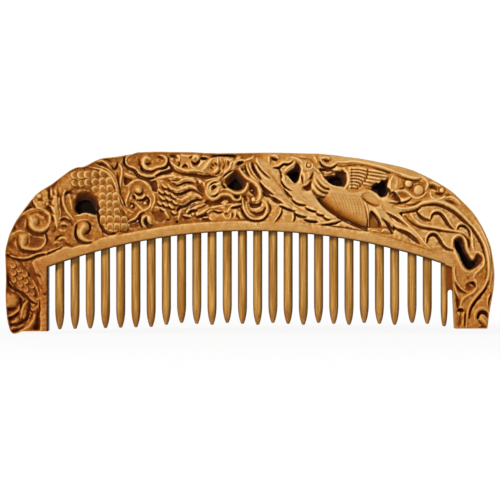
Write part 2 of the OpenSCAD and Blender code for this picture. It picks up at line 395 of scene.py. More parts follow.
dragonCoil = {"tubes": [
    ((7, 10, 11, 11, 11, 11.5, 12.5, 12.8, 12.5), -2.05, 1.3, [(60, 190), (70, 181), (82, 178.5),
     (95, 180.5), (104, 189), (109, 201), (112.5, 214), (115, 229), (117, 240)]),
], "sinks": [
    (-3.6, 4.2, [(73, 200), (76, 193), (80.5, 190), (87, 189), (94, 191.5), (98.8, 196.5), (101.5, 204),
     (101.5, 211), (98.5, 217), (92, 216), (84, 214.5), (77, 216.3), (73, 211), (72.5, 205)], 0.15),
    (-3.1, 1.8, [(97, 204), (100.6, 207), (101, 213), (101.2, 219), (103.6, 225), (107, 229.6),
     (112, 231.2), (117, 231.6), (119, 232.4), (114, 235.6), (107, 235.4), (102, 231), (98.6, 224.5),
     (97, 217)]),
], "ribs": [
    (1.3, 0.85, (90, 167.5), (98, 169), (105, 171.3), (111, 175.5), (114.7, 182), (117, 189), (118.6, 196),
     (120.5, 203), (123.5, 208.5), (127.5, 213.5)),
    (1, 0.5, (96, 165), (103, 167), (109.5, 170.8), (114, 175.5), (117, 182), (119.2, 190), (121, 198)),
    (1.3, 0.6, (76, 216.3), (82, 215), (87, 214), (92, 215.5), (97, 217)),
    (1.1, 0.7, (97, 162.3), (102, 161), (106, 162.8), (109, 165.5), (112, 169)),
    (1.1, 0.7, (119.3, 164), (121.5, 167), (122.7, 171), (121.8, 176), (120.8, 182), (120.7, 189)),
    ((4, 4, 3.2, 2, 1.5, 1.1), 0.9, (85.3, 226.3), (83.5, 228), (81.6, 231.5), (82, 236), (85.5, 239.6),
     (90, 240.8), (95, 240.2)),
    (1.1, 0.4, (74.5, 226), (78, 221.7), (84, 219.8), (90, 220.5)),
], "cuts": [
    (1.5, 1.3, (98.5, 164.7), (104, 165.5), (108.5, 168.5)),
    (1.2, 1.5, (112.3, 167.3), (115, 169.4), (117.2, 167), (117.8, 162.8)),
    (1, 0.9, (117.5, 172), (118.8, 180), (120.3, 190), (122.3, 199)),
    ((0.8, 1.4, 1.6, 1.3, 0.7), 1.6, (77.5, 225), (76.2, 230), (76.6, 236), (80, 241), (86, 243.6),
     (92, 243)),
    (1.2, 1.3, (86.3, 221.3), (90, 224), (90.6, 229), (88, 233), (83.8, 234.6)),
    (1.1, 1.3, (117, 231.7), (122, 231), (127, 232.3)),
    (1.2, 1.2, (124, 225), (127, 228), (129, 231)),
    (0.9, 0.7, (103, 159.5), (108, 160), (112, 163)),
]}

dragonTail = {"cutShare": 0.75, "tubes": [
    ((9, 10, 9, 7, 5), -2.3, 1.4, [(12, 263), (18, 274), (25, 285), (32, 296), (37, 309)]),
], "masses": [
    (-0.7, 0.12, 2, [(33, 263), (37, 258.6), (43, 257), (49.5, 257), (49.5, 331), (41, 331), (41, 300),
     (40, 285), (36.5, 273)]),
    (-1.9, 0.5, 4, [(6, 290), (14, 292), (22, 295), (30, 300), (38, 306), (39, 331), (12, 333), (6, 316)]),
    (-1.7, 1.6, 7, [(6, 293), (13, 292.5), (19, 296), (20, 302), (17, 307), (11, 308.5), (6, 307)], 0.8),
], "ribs": [
    (1.3, 0.65, (23, 269.5), (29, 276), (35, 283.5), (38.5, 291), (39.7, 298), (39.3, 306)),
    (1, 0.4, (21, 268), (27, 275), (33, 283), (36.5, 290)),
    (0.9, 0.3, (33, 262), (38, 269), (44, 278), (46, 287)),
    (1.5, 0.8, (21, 302.5), (20, 308.5), (16, 312.8), (11, 315.3), (7.5, 315.8)),
    (2, 0.7, (28.5, 300.8), (24.8, 305), (23.3, 311), (21.5, 318)),
    (1.6, 0.5, (26.5, 309), (25.5, 314), (24.5, 319)),
    (2.6, 0.8, (20.5, 330.5), (28, 327.5), (33, 322.5), (35.5, 317.5)),
    (1.5, 0.55, (33, 311), (37, 308), (39.5, 304)),
    (1.2, 0.45, (33, 306), (36, 303.5)),
    (1.6, 0.55, (12, 322.5), (16, 321), (20, 318.5)),
    (1.4, 0.5, (11.5, 329), (14.5, 327.5), (17.5, 327)),
    (1.6, 0.45, (31.5, 312.5), (34.5, 315), (35, 319)),
], "cuts": [
    (1.2, 1.2, (36.5, 274.8), (39, 275.5), (42, 277.2)),
    (1.2, 1.1, (44.3, 294), (48, 294)),
    (1, 0.7, (40, 283.5), (42, 287), (43.5, 290.5)),
    (1, 0.7, (45.5, 303.5), (48.5, 303)),
    ((1, 1.5, 1.5, 1.4, 1.2, 0.7), 1.6, (8, 281), (11, 286), (16, 289.7), (22, 292.5), (28, 297),
     (33, 302), (38.5, 304.3)),
    (1.6, 1.4, (6, 272), (7.5, 279), (10, 286)),
    (1.4, 1.5, (20.8, 297), (21.8, 301), (20.5, 306)),
    (1.4, 1.4, (7.5, 308), (12.5, 309.6), (17, 308)),
    (1.5, 1.7, (19.8, 311.5), (15.5, 316), (10.5, 318.3), (7, 318)),
    (1.2, 1.5, (20.8, 309.5), (22.5, 304), (26, 300.6)),
    (1.3, 1.4, (29.8, 302.5), (30.4, 308), (28, 314)),
    ((0.8, 1.9, 2, 0.8), 1.7, (15.5, 325.7), (21, 323), (26.5, 319.5), (30, 313)),
    ((0.6, 0.9, 1.3, 2, 2.8), 1.6, (40.3, 304), (40.3, 311), (38.3, 316), (38.3, 323), (37, 331)),
    (1.2, 1.3, (31, 302.5), (31.7, 309), (33.3, 314), (30.5, 319)),
    (1.2, 1.3, (9, 324.6), (13, 324.8), (18, 323.4)),
    (1.3, 1.3, (12, 332), (19, 330), (26, 326)),
    (0.9, 0.8, (10, 319.8), (16, 318.9)),
]}

clouds = {"sinks": [
    (-3.1, 2.2, [(123.8, 176), (130, 178), (138, 179.8), (133, 182.5), (128, 186), (124, 184.5)]),
    (-3.1, 2.2, [(143.5, 178.6), (150, 180), (156.5, 179.8), (158.8, 186), (157.7, 192.7), (153, 191.7),
     (150.5, 186), (146.5, 181.5)]),
    (-2.1, 3, [(152.5, 212), (156, 210), (161, 210.3), (165.5, 213), (167, 219), (163, 223), (156, 222.5),
     (153.5, 218)]),
    (-2, 2.4, [(129, 224), (135, 222.3), (139.5, 220.5), (140.3, 227), (134, 229), (130, 228)]),
    (-1.8, 2.2, [(131, 184.5), (137, 182.8), (143, 183.5), (146.5, 188), (145, 192), (143.5, 187.5),
     (139, 185.3), (134.3, 187.3), (131.5, 191)]),
], "ribs": [
    (1.3, 0.85, (131, 155.3), (127.3, 157.8), (126.2, 161.5), (127.8, 165.2), (131.5, 167.4),
     (135.3, 168.7), (137.5, 171), (139.5, 173.8), (143.5, 175.8), (148.5, 176.9), (153.5, 176),
     (157.3, 173.7), (161, 171.5), (166, 170), (171.5, 168.3)),
    ((0.5, 1, 1.2, 1.2, 1.2, 1.3, 1.5, 2, 2.5, 2.8, 2.8, 2.4, 1.6), 0.8, (160, 155.3), (164, 156.3),
     (167, 159), (166.8, 162.5), (164.5, 165.4), (160.5, 166.8), (156.5, 167.6), (153.5, 169.2),
     (149.5, 169.5), (146.3, 167.8), (144.4, 164.8), (144.2, 161), (145.6, 158.6), (148.3, 158),
     (150.3, 159.6)),
    (1.1, 0.7, (124.5, 173.3), (130, 175.6), (136.5, 177.8)),
    (1.2, 0.75, (127, 186.5), (131, 182.3), (137, 180.4), (143, 180.8), (147.3, 184.3), (150.8, 188.3),
     (152, 192.5)),
    (1.1, 0.6, (129, 187.5), (129.8, 192), (128, 197), (126.6, 202), (127.3, 207.5), (130.5, 211.2),
     (135, 212.3)),
    (1.1, 0.6, (152.5, 193), (155, 197), (154.8, 202), (153, 206.5), (151.7, 210)),
    (1.1, 0.65, (135.5, 202), (139.5, 206.3), (144, 210), (148.5, 208.5), (151, 204.5), (150.7, 199.5),
     (147.5, 196.3)),
    ((0.8, 1.5, 1.5, 0.9), 0.7, (136, 195.2), (138.8, 198), (143.3, 198), (145.2, 194.6)),
    ((3, 3.4, 3.2), 0.6, (138, 189.4), (138.8, 190.2), (139.4, 191)),
    ((0.6, 1.2, 0.6), 0.35, (132, 195), (131.3, 198), (129.8, 201.5)),
    (1, 0.4, (121, 192), (122, 200), (125, 207), (128.5, 212.5)),
    (1.1, 0.65, (128.5, 221.5), (132, 219.7), (135.3, 218.8), (137.3, 216.6), (139.3, 213.4),
     (142.5, 211.3), (146, 211)),
    ((0.7, 1.3, 1.5, 1.4, 0.8), 0.85, (147.8, 215.4), (144.2, 217), (142.3, 220.5), (143.2, 224.2),
     (146, 226.8)),
    ((0.8, 2, 2.4, 1.8, 0.6), 0.75, (147.5, 215.8), (149.2, 217.2), (150.2, 219.8), (150.8, 222.8)),
    (1.4, 0.85, (154.5, 206.8), (159.5, 208.3), (164, 210), (167, 213.8), (169.3, 218.3)),
], "cuts": [
    ((0.8, 1.3, 1.5, 1.6, 1.8, 2, 2.2, 2, 1.2), 2.1, (124.8, 157), (124.6, 163), (127.5, 167.3),
     (132, 169.6), (135.5, 171.3), (138, 175), (142, 178), (148, 179.2), (154, 178.3)),
    ((0.8, 1.7, 1.8, 1.5, 0.7), 1.6, (140.5, 165), (143.3, 170.3), (149, 172.4), (154.5, 171), (157, 169.2)),
    (1, 1.3, (145.3, 163.5), (148, 164.8), (151.3, 163.3)),
    (1.3, 0.8, (157, 157), (161, 157.8), (164.3, 160)),
    ((0.6, 1.4, 1.6, 1.3, 0.7), 1.8, (157.5, 169.3), (162, 168.8), (166, 167.6), (168.5, 164),
     (168.8, 158.5)),
    ((1.2, 1.7, 1.9, 2), 2, (156.5, 175.8), (161, 173.7), (167, 172.5), (173, 170)),
    (1.1, 0.8, (138.5, 159), (140.5, 163), (139, 166)),
    (1.1, 1.4, (143.5, 190), (141.8, 193.9), (138.5, 195), (135, 192.5)),
    (1.2, 1.4, (134.5, 195.5), (135.3, 200)),
    ((0.8, 1.3, 1.5, 1.3, 0.7), 1.6, (138, 200.6), (143, 200), (147, 197.8), (149.4, 200.5), (148.8, 205)),
    (1, 1.5, (130.3, 206), (131.5, 203.8), (134, 204.5), (134.3, 207.5), (132, 208.7)),
    (0.9, 0.9, (123, 197), (125, 204), (129, 210)),
    ((0.6, 1.1, 1.2, 1.1, 0.7), 1.1, (129, 223.5), (135, 221.3), (138.5, 217.8), (141, 214.3), (145, 212.8)),
    ((0.8, 1.6, 1.9, 1.7, 0.9), 1.9, (146.6, 218), (145.8, 221), (147, 224.2), (149.6, 226), (152.2, 225.4)),
    (1.4, 1.5, (141, 216.3), (140.3, 222), (142.7, 228)),
    (1, 1.3, (166.5, 219.8), (170, 220.4)),
    (0.9, 1, (152.5, 212), (154, 214.5)),
], "balls": [(145.6, 203.4, 1.9, 0.3)]}

dragonHead = {"masses": [
    (-1.55, 0.65, 4, [(186, 210), (191, 203.5), (199, 201.5), (206, 204), (209, 208), (203, 214),
     (194, 217), (187, 215)]),
    (-1.2, 0.8, 4, [(206, 186), (210, 182), (218, 179.5), (223, 183), (224, 189), (219, 195), (211, 198),
     (206, 194)]),
    (-1.2, 0.5, 3, [(210, 214), (220, 211), (232, 208), (241, 212), (243, 219), (230, 221), (212, 221)]),
    (-1.12, 0.4, 3, [(175, 157), (185, 154), (210, 156), (232, 158), (238, 166), (228, 172), (212, 174),
     (196, 171), (182, 169)]),
], "sinks": [
    (-3.2, 2.2, [(170, 165.5), (175, 169), (180, 171.7), (187, 173), (195, 173), (203, 174.3),
     (212, 174.7), (219, 177.6), (210, 180), (202, 179.4), (194, 178.2), (186, 177), (178, 174.8),
     (171, 171)]),
    (-3.5, 3.6, [(231, 171), (236, 168.7), (241, 170.5), (246, 177), (252, 181), (249, 184),
     (246.5, 188.5), (241, 191.8), (235, 192.2), (228.5, 189.3), (225, 186), (224, 180), (227, 175)], 0.35),
    (-2.7, 2.2, [(207, 199.5), (213, 200.5), (219, 197.7), (224, 196), (231, 197), (235, 200.7),
     (242, 200), (242, 204), (235, 203.8), (228, 205), (219, 206), (210, 206.5), (204, 203)]),
    (-2.9, 2.2, [(249, 182.5), (254, 184.5), (257.5, 188.5), (258.3, 194), (256.5, 198), (253.5, 196.5),
     (250.5, 194), (248.5, 188.5)]),
    (-3.1, 2, [(248.5, 201.5), (252, 202.5), (258, 202.8), (262, 200.5), (261.5, 206.5), (256, 209),
     (250, 208)]),
    (-2.2, 2, [(196, 186.5), (201, 184.5), (205, 189), (204, 195), (198.5, 192)]),
], "ribs": [
    (1.3, 0.85, (170.8, 162), (174, 165), (178, 167.6), (182.3, 169.8), (187, 171), (193.5, 170.8),
     (199.5, 171.3), (206, 173.3)),
    (1, 0.5, (177.3, 154.5), (179.8, 158.3), (179, 162)),
    (1, 0.5, (180.5, 155), (186, 156.3), (191.5, 156.6)),
    (0.9, 0.55, (186, 163), (188.5, 165), (189.7, 169)),
    (1, 0.5, (190.5, 163), (192.5, 167.5), (198, 169)),
    ((0.8, 2, 2.3, 1.2), 0.6, (192.8, 158.8), (195.6, 156.3), (198.2, 157.2), (198.6, 160.2)),
    (1.3, 0.6, (198.5, 167), (201.5, 163.5), (205, 161)),
    (0.8, 0.5, (217.6, 158.4), (218.2, 161.5), (217.8, 164.2)),
    (0.8, 0.5, (220.2, 158.4), (220.5, 162), (219.9, 165.8)),
    (0.8, 0.5, (224.3, 158.8), (224.6, 163), (223.5, 167.2)),
    (0.8, 0.45, (226.5, 158.6), (226.9, 161), (226.4, 163.4)),
    ((0.8, 2, 2.5, 2, 0.9), 0.6, (211.8, 159.3), (208.6, 163.4), (206, 167.4), (202.4, 171)),
    ((0.8, 1.7, 1.7, 0.8), 0.5, (219.8, 167.6), (217, 170), (214.3, 172.3)),
    (1.1, 0.5, (222.8, 170.4), (219.5, 173.6), (216, 176.2)),
    (1, 0.6, (227, 159), (230.5, 160.5), (232.5, 158.5)),
    (1.1, 0.7, (233.3, 161), (230.5, 165), (229.5, 168.5), (226, 172), (222.5, 175.5)),
    ((1.6, 2, 2, 1.4), 1.4, (222.4, 203), (224.6, 201.8), (227, 200.8)),
    ((1.4, 1.9, 1.9, 1.4), 1.35, (223.8, 204), (225.8, 203), (228, 201.8)),
    (1.1, 0.55, (213.4, 209.8), (217.5, 211), (222.4, 211.6)),
    ((0.8, 1.5, 1.5, 0.8), 0.5, (220, 207.8), (223, 207.6), (226, 208.2)),
    (1.3, 0.55, (209, 208.5), (214, 207.5), (219, 206.2), (224, 205.4), (229.5, 204.4), (235, 204.8)),
    (1, 0.7, (224.5, 178.5), (229, 174.5), (233.5, 171.5)),
    (1.2, 0.7, (206, 181.5), (212, 179), (219, 177.8), (224, 175.5)),
    (1.3, 0.55, (172, 177.8), (178, 177.4), (184, 178.3)),
    (1.4, 0.55, (158, 178.5), (165, 176.8), (172, 176), (178, 176.2)),
    (1.1, 0.45, (160, 182), (166, 180), (172, 179.6), (178, 180.4)),
    (1.4, 0.5, (196, 180.5), (201, 181), (204.5, 184.5), (205.5, 189)),
    (1.3, 0.7, (196.5, 215), (202, 213), (206, 210.5), (210, 207.5)),
    (1.2, 0.6, (206.5, 214), (209.5, 211), (213, 210)),
    (1.2, 0.6, (183.5, 215), (188, 215.8), (192, 217)),
    (1.2, 0.5, (178.5, 220), (180, 214), (181.5, 209)),
    (1.3, 0.8, (208, 189), (208.6, 185), (212.5, 181.7), (217.5, 180), (221.5, 178.5)),
    (1.1, 0.7, (211, 192), (210.6, 188), (213, 185), (218, 184.3), (221, 183), (222.3, 179.5)),
    (1.1, 0.6, (211.5, 194.5), (215, 194.3), (218, 191.5), (218.5, 188)),
    (1.5, 0.95, (205.8, 190.5), (207, 195), (210, 198), (213.3, 199.2), (217, 198), (220, 195.6),
     (223.5, 194.3), (228, 194.6), (231.5, 196), (234, 198.8), (237.7, 200.3), (240.6, 198.5), (241, 195.3)),
    (1.3, 0.85, (221, 190.3), (226.5, 189.5), (230.8, 191), (234.5, 193), (239, 193.4), (243.2, 192),
     (246.3, 188.8), (247.4, 185), (247, 182.5)),
    (1.2, 0.7, (227, 214), (229, 210), (231.3, 206.7), (236, 205.2), (241.5, 204)),
    (1.6, 0.95, (239.5, 168.5), (243, 174), (247, 178.3), (251, 180.5), (255.3, 183), (258.6, 186.6),
     (260.4, 191), (260.4, 196), (258.5, 200), (255.2, 201), (252.7, 199.3)),
    (1.4, 0.85, (242.8, 199), (243.6, 206), (246, 213), (249.5, 217.3), (254, 219.3), (259, 219.2),
     (263.5, 217), (266.6, 212.5), (267.4, 207.5), (266, 203), (263, 201)),
    (1.1, 0.6, (246.3, 203), (247.4, 209), (250, 213.6), (254, 215.7)),
    (1.3, 0.8, (234, 166), (234.9, 163), (238, 161.1), (241.5, 160.4), (244.4, 159.6)),
    ((1, 2.4, 2.2, 0.8), 0.55, (235.8, 160.6), (238.6, 158.6), (241.4, 157.4)),
    (1, 0.6, (243.5, 161.5), (246.5, 160.3), (250.5, 159), (254.5, 155.8)),
    (1, 0.55, (246.6, 163.5), (247.3, 168.5), (250.5, 175), (255, 179.5), (259, 182)),
    (0.9, 0.5, (250, 162), (250.5, 167), (253.5, 173), (257.5, 178)),
    (0.9, 0.45, (231, 213), (230.5, 217), (228, 220)),
    (0.9, 0.45, (235.5, 210.5), (235.5, 215), (234, 219)),
    (0.9, 0.45, (240, 212), (240.7, 216), (243.5, 220)),
    (1.1, 0.5, (222.5, 213), (225, 217.5), (229, 219.5)),
    (1.1, 0.5, (209, 217.5), (211.5, 219.8), (213.5, 221)),
], "cuts": [
    (1.2, 1.6, (168.8, 163), (171.5, 167), (175, 170)),
    (1.3, 1.3, (170, 156), (174, 156.8), (178, 158.5)),
    (0.9, 1.3, (178.2, 161.5), (179.8, 164), (178.7, 167)),
    (1.3, 1.5, (182.5, 167.8), (185.5, 165.6), (188.5, 167.6)),
    (1, 1.3, (189.5, 158.2), (192.8, 156.8)),
    (1.6, 1.8, (192, 162), (195, 164.4), (198.2, 163), (199.8, 159.6)),
    (1.5, 2.4, (200.4, 158.4), (203.8, 159), (207.6, 158.8)),
    (0.9, 1.3, (212, 164.3), (214.4, 166.7)),
    (0.9, 1.3, (214.8, 163), (217.2, 165.6)),
    (0.9, 1.2, (210.6, 167.3), (213, 169.5)),
    (1.1, 1.4, (221.4, 170.6), (218.6, 173.2), (215.6, 175.2)),
    (0.9, 0.9, (219.7, 160), (220.4, 165), (218.8, 171)),
    (0.9, 0.9, (223.6, 160), (224.5, 165), (223, 170.5)),
    (0.9, 1, (227.3, 161.5), (229, 163), (228.3, 167)),
    ((0.7, 1.1, 1.2, 1.5, 1.2), 2, (211, 157.5), (217, 156), (225, 155.3), (231, 155.6), (235, 156.8)),
    (1, 1, (223, 177.5), (227.5, 173.5), (232, 171)),
    (1, 1.5, (173.5, 183.6), (177, 185.7), (181, 184.9), (185, 182.9), (190, 183), (195, 184)),
    ((0.7, 1.5, 1.7, 1.2, 1, 0.8), 1.5, (171.5, 192), (176, 194.2), (180.5, 194.4), (185, 192.8),
     (189, 191), (194, 190.8), (199, 193.4), (203, 196)),
    ((0.8, 1.5, 1.6, 1.2, 0.8), 1.7, (179.5, 206.2), (184, 206.8), (188, 205), (192, 202), (197, 200.4),
     (202, 200.2)),
    (1, 0.9, (172, 180.5), (178, 181), (182, 179)),
    (1, 0.8, (162, 180), (168, 180), (172, 182)),
    ((1, 1.6, 1.6, 1), 2.2, (188.6, 214), (191.5, 211.4), (197, 210.6)),
    (0.8, 0.8, (184.5, 212), (190, 206.5), (196.5, 202.8)),
    (0.8, 0.8, (188.6, 210), (194, 206), (200.5, 203.6)),
    (0.9, 0.9, (196.5, 209), (202, 207.4), (207, 204.6)),
    (1.2, 1.4, (196, 217.6), (202.5, 216.2), (208, 213.4)),
    (1.1, 1.3, (182.5, 216.8), (187, 218.2), (191, 218.6)),
    (1.2, 1.5, (176.5, 223), (178.3, 221.3)),
    (1.3, 1.6, (177.5, 212), (179.3, 208.5), (184, 207.2)),
    (2, 1.8, (212.3, 189.5), (213.6, 187.2), (216.6, 187)),
    (1.1, 1.4, (211.5, 196.4), (215.3, 196), (218.8, 192.8)),
    (1.1, 1.2, (209.8, 186), (213, 183.2), (218, 182.2)),
    (1.6, 1.5, (234.5, 196), (237.5, 197.7), (239, 195.8)),
    (1.2, 1.4, (230, 208.6), (235.5, 207.4), (242, 206)),
    (1.2, 1.5, (213.5, 211), (218.5, 212.8), (223.5, 212)),
    (1.2, 1.4, (225, 214), (228, 213.4)),
    (1.1, 1.1, (236.7, 214.5), (238.3, 217.5), (240.5, 219.5)),
    (1, 1, (232.8, 213), (232.3, 217)),
    (1.3, 1.5, (204.5, 215.8), (207.5, 215.6)),
    (1.1, 1.2, (202, 219.3), (207, 219.5), (210, 221)),
    (1.6, 2, (236.8, 164.4), (239.8, 163.1), (243.6, 162.6)),
    (1, 1.2, (241.5, 169.3), (244, 170)),
    (1, 1.3, (245.3, 166), (246.3, 171), (249.5, 177)),
    (1.6, 1.7, (252.5, 163), (253.5, 169), (257, 174.5), (261.5, 180)),
    ((0.8, 1.4, 1.5, 1.3, 0.8), 1.7, (241, 208), (244.5, 215), (249.5, 220), (256.5, 221.2),
     (263.5, 219.6), (268.5, 214)),
    ((0.7, 1.8, 2.2, 1.2), 1.3, (251, 212), (257, 214.3), (262.5, 213), (265, 208.5)),
    (1.3, 1.3, (242.8, 195.5), (245.3, 198), (247, 201.5)),
    (1.1, 1.2, (221, 180.5), (223, 186), (226, 189)),
], "balls": [(193.6, 214.2, 1.5, 0.5), (251.8, 190.6, 1.5, 0.4), (253.4, 199.6, 2.3, 0.65),
    (200.6, 182, 2.2, 0.4)],
"strands": [
    ((1, 2, 2.9, 3.2, 2.9, 1.5), 0.75, [(171.5, 181.3), (177, 182.6), (182, 180.6), (187, 179),
     (191.5, 179.2), (195, 181.6)], (-1.3, 0.9)),
    ((1, 2, 2.9, 3.3, 3, 2.4, 1.2), 0.75, [(168.5, 184.8), (173, 188.4), (178, 190), (183, 188.4),
     (188, 186.6), (192, 186.4), (196.5, 188.6)], (-1.5, 0.2, 1.8)),
    ((1, 2.4, 3.4, 3.9, 3.4, 1.6), 0.75, [(175.5, 198), (181, 200), (186, 198), (190.5, 195.4),
     (195.5, 194.8), (201, 197.4)], (-2.2, -0.7, 1, 2.6)),
]}

# locks of the mane; a stroke is its width, its height or depth, and its points from the lock's centre
maneCurls = {
    "centres": [(165.5, 186.3), (171.5, 188), (162.3, 191.7), (168, 192.6), (174.5, 196), (163.3, 197.8),
        (169.5, 199), (175.8, 202.3), (160.8, 203), (166.3, 204.6), (172, 206.4), (163.3, 208.6),
        (174.5, 212)],
    "lock": (1.9, 0.7, (-2.6, -2.08), (-1.04, 0.52), (0.78, 1.3), (2.6, 0.78)),
    "gap": (1.1, 1.3, (-3.4, -0.52), (-1.3, 2.6), (1.3, 3.38), (2.6, 2.6)),
}


def carveManeCurls(curls):
    # short locks that slant down to the right, each with a gap under it
    for x, y in curls["centres"]:
        strokeAt(ribs, x, y, *curls["lock"])
        strokeAt(cuts, x, y, *curls["gap"])


phoenixWing = {"cutShare": 1.35, "masses": [
    (-1, 0.7, 5, [(257, 158), (270, 163), (281, 173), (282, 182), (292, 198), (305, 206), (318, 213),
     (330, 218), (341, 219.5), (334, 222.3), (325, 224.3), (317, 223), (305, 219), (294, 213), (281, 205),
     (271, 194), (262, 182), (256, 168)]),
    (-0.5, 0.5, 5, [(284, 178), (290, 184), (300, 186), (303, 191), (312, 191.5), (316, 199), (322, 206),
     (330, 212.5), (337, 217.5), (329, 219.5), (324, 216), (316, 211.5), (305, 205), (293, 199),
     (286, 189), (281, 180)]),
], "sinks": [
    (-3.5, 3, [(284.5, 174.5), (288, 170), (292.5, 167), (295.5, 161.5), (299, 163.5), (302, 168),
     (301.5, 174), (299.5, 181), (296, 184.5), (292, 182.5), (288, 178)]),
    (-3, 2.4, [(302, 187), (305.5, 184.7), (309, 181.5), (311.5, 179), (312.5, 184), (312, 190),
     (307.5, 192), (303.5, 190)]),
    (-2.4, 1.9, [(253.5, 165), (256, 169.5), (260.5, 176), (262, 180), (258.5, 178), (254.5, 172)]),
    (-2.2, 2.2, [(261, 185), (266, 190), (272, 195), (276, 199), (281, 204), (275, 204), (268, 198),
     (263, 193)]),
], "ribs": [
    (1.2, 0.6, (256.8, 158), (258, 164), (262, 170), (266, 174), (271, 178)),
    (1.3, 0.75, (255.8, 167), (258, 170.5), (261.3, 174.5), (265.5, 178.5), (271, 182)),
    (1.2, 0.75, (261, 181.5), (264.3, 185.8), (269.5, 190), (276, 194.3)),
    (1.2, 0.75, (272, 195), (276.5, 198), (281.5, 201.5), (288, 205)),
    (1.2, 0.75, (280, 204), (285, 206), (291, 208.2)),
    (1.2, 0.8, (294.7, 211.8), (299.5, 214), (306, 215.7)),
    (1.2, 0.8, (305, 217.8), (309.5, 219), (316, 219.5)),
    (1.3, 0.7, (318, 223.3), (325, 223.2), (332, 221.7), (341, 219.6)),
    (1.1, 0.7, (281, 173), (283.3, 176.3), (285, 179.5)),
    (1.2, 0.7, (282.3, 180.5), (286.3, 186), (292, 190)),
    (1.2, 0.75, (285, 188.7), (288.5, 192.3), (293, 196.3)),
    (1.2, 0.8, (292, 197.7), (296, 201.3), (300.5, 203), (305, 203.3)),
    (1.2, 0.8, (305, 205.8), (308.5, 208), (312.5, 209.5), (316, 210)),
    (1.2, 0.8, (316, 211.5), (319.5, 213.2), (324, 213.8)),
    (1.2, 0.8, (323.8, 215.8), (327, 217.5), (331, 218.2)),
    (1.1, 0.7, (269, 156.5), (269, 160), (269.3, 163.5)),
    (1.2, 0.75, (271, 156.3), (275, 156), (278, 158.3), (276.5, 160.5)),
    (1.3, 0.85, (272.5, 166.7), (278, 166), (281.3, 164.3), (283.3, 162.4), (286, 162.7), (289, 162.8),
     (292.5, 159.7)),
    (1.1, 0.7, (283.5, 173), (287, 169), (290.5, 166.3), (293.5, 164.3), (295.3, 161.8)),
], "cuts": [
    (1.1, 1.4, (256, 163), (261, 170.2), (266, 175.2), (270.5, 178.5)),
    (1.4, 1.7, (260, 183), (264, 188.3), (269.5, 192.5), (274, 195.8)),
    (1.4, 1.7, (273, 197.3), (278, 200.8), (283, 203.7)),
    (1.2, 1.6, (279.5, 206.5), (285, 208.5), (290, 210.5), (295.5, 211.3)),
    (1.4, 1.8, (294.5, 214), (300, 216.5), (307, 217.6)),
    (1.4, 1.8, (304, 219.8), (309.5, 221.6), (318, 222.2)),
    (1.1, 1.5, (280.8, 180.5), (284, 186), (288, 189.4), (292, 191.3)),
    (1.1, 1.5, (284, 190), (288, 194.3), (292.5, 198.3)),
    (1.2, 1.6, (292, 200), (296, 203.6), (300.5, 205.3), (306, 205.6)),
    (1.2, 1.6, (305, 207.8), (309, 210.1), (313, 211.6), (317, 212)),
    (1.1, 1.5, (316, 213.6), (319.3, 215.6), (324, 215.8)),
    (1.1, 1.5, (323, 217.2), (326, 219.5), (330, 220)),
    (1.2, 1.5, (321, 225), (328, 224.6), (335, 223.4), (341.5, 220.8)),
    (1.3, 1.5, (271.5, 158), (275, 160.3), (278.3, 159.2)),
    (1.3, 1.7, (273.5, 168.4), (279, 167.9), (283, 164.8), (288, 164.6), (292.5, 162.3)),
    (1.1, 1, (279, 169), (281, 174), (281, 180)),
    (0.6, 0.35, (262, 164), (270, 174), (282, 190), (296, 205)),
    (0.6, 0.35, (268, 168), (275, 179), (286, 193)),
    (0.6, 0.35, (268, 184), (280, 195), (296, 207), (312, 216)),
    (0.6, 0.3, (289, 187), (299, 198), (312, 206), (326, 214)),
    (0.6, 0.3, (298, 190), (307, 200), (320, 209)),
    (1.1, 1.2, (262, 192), (266, 196.3), (270, 197)),
    (1, 1.2, (282, 209), (281.5, 213), (278.5, 218), (275, 222)),
    (0.9, 1, (294.5, 212), (295, 217), (293.5, 222)),
    (1, 0.9, (268, 202), (270.5, 208), (270, 214)),
]}

wingGround = {"ribs": [
    (1.1, 0.55, (281, 208), (280, 213), (277, 218), (274, 222)),
    (1, 0.5, (292.5, 213), (293, 218), (291.5, 222)),
]}

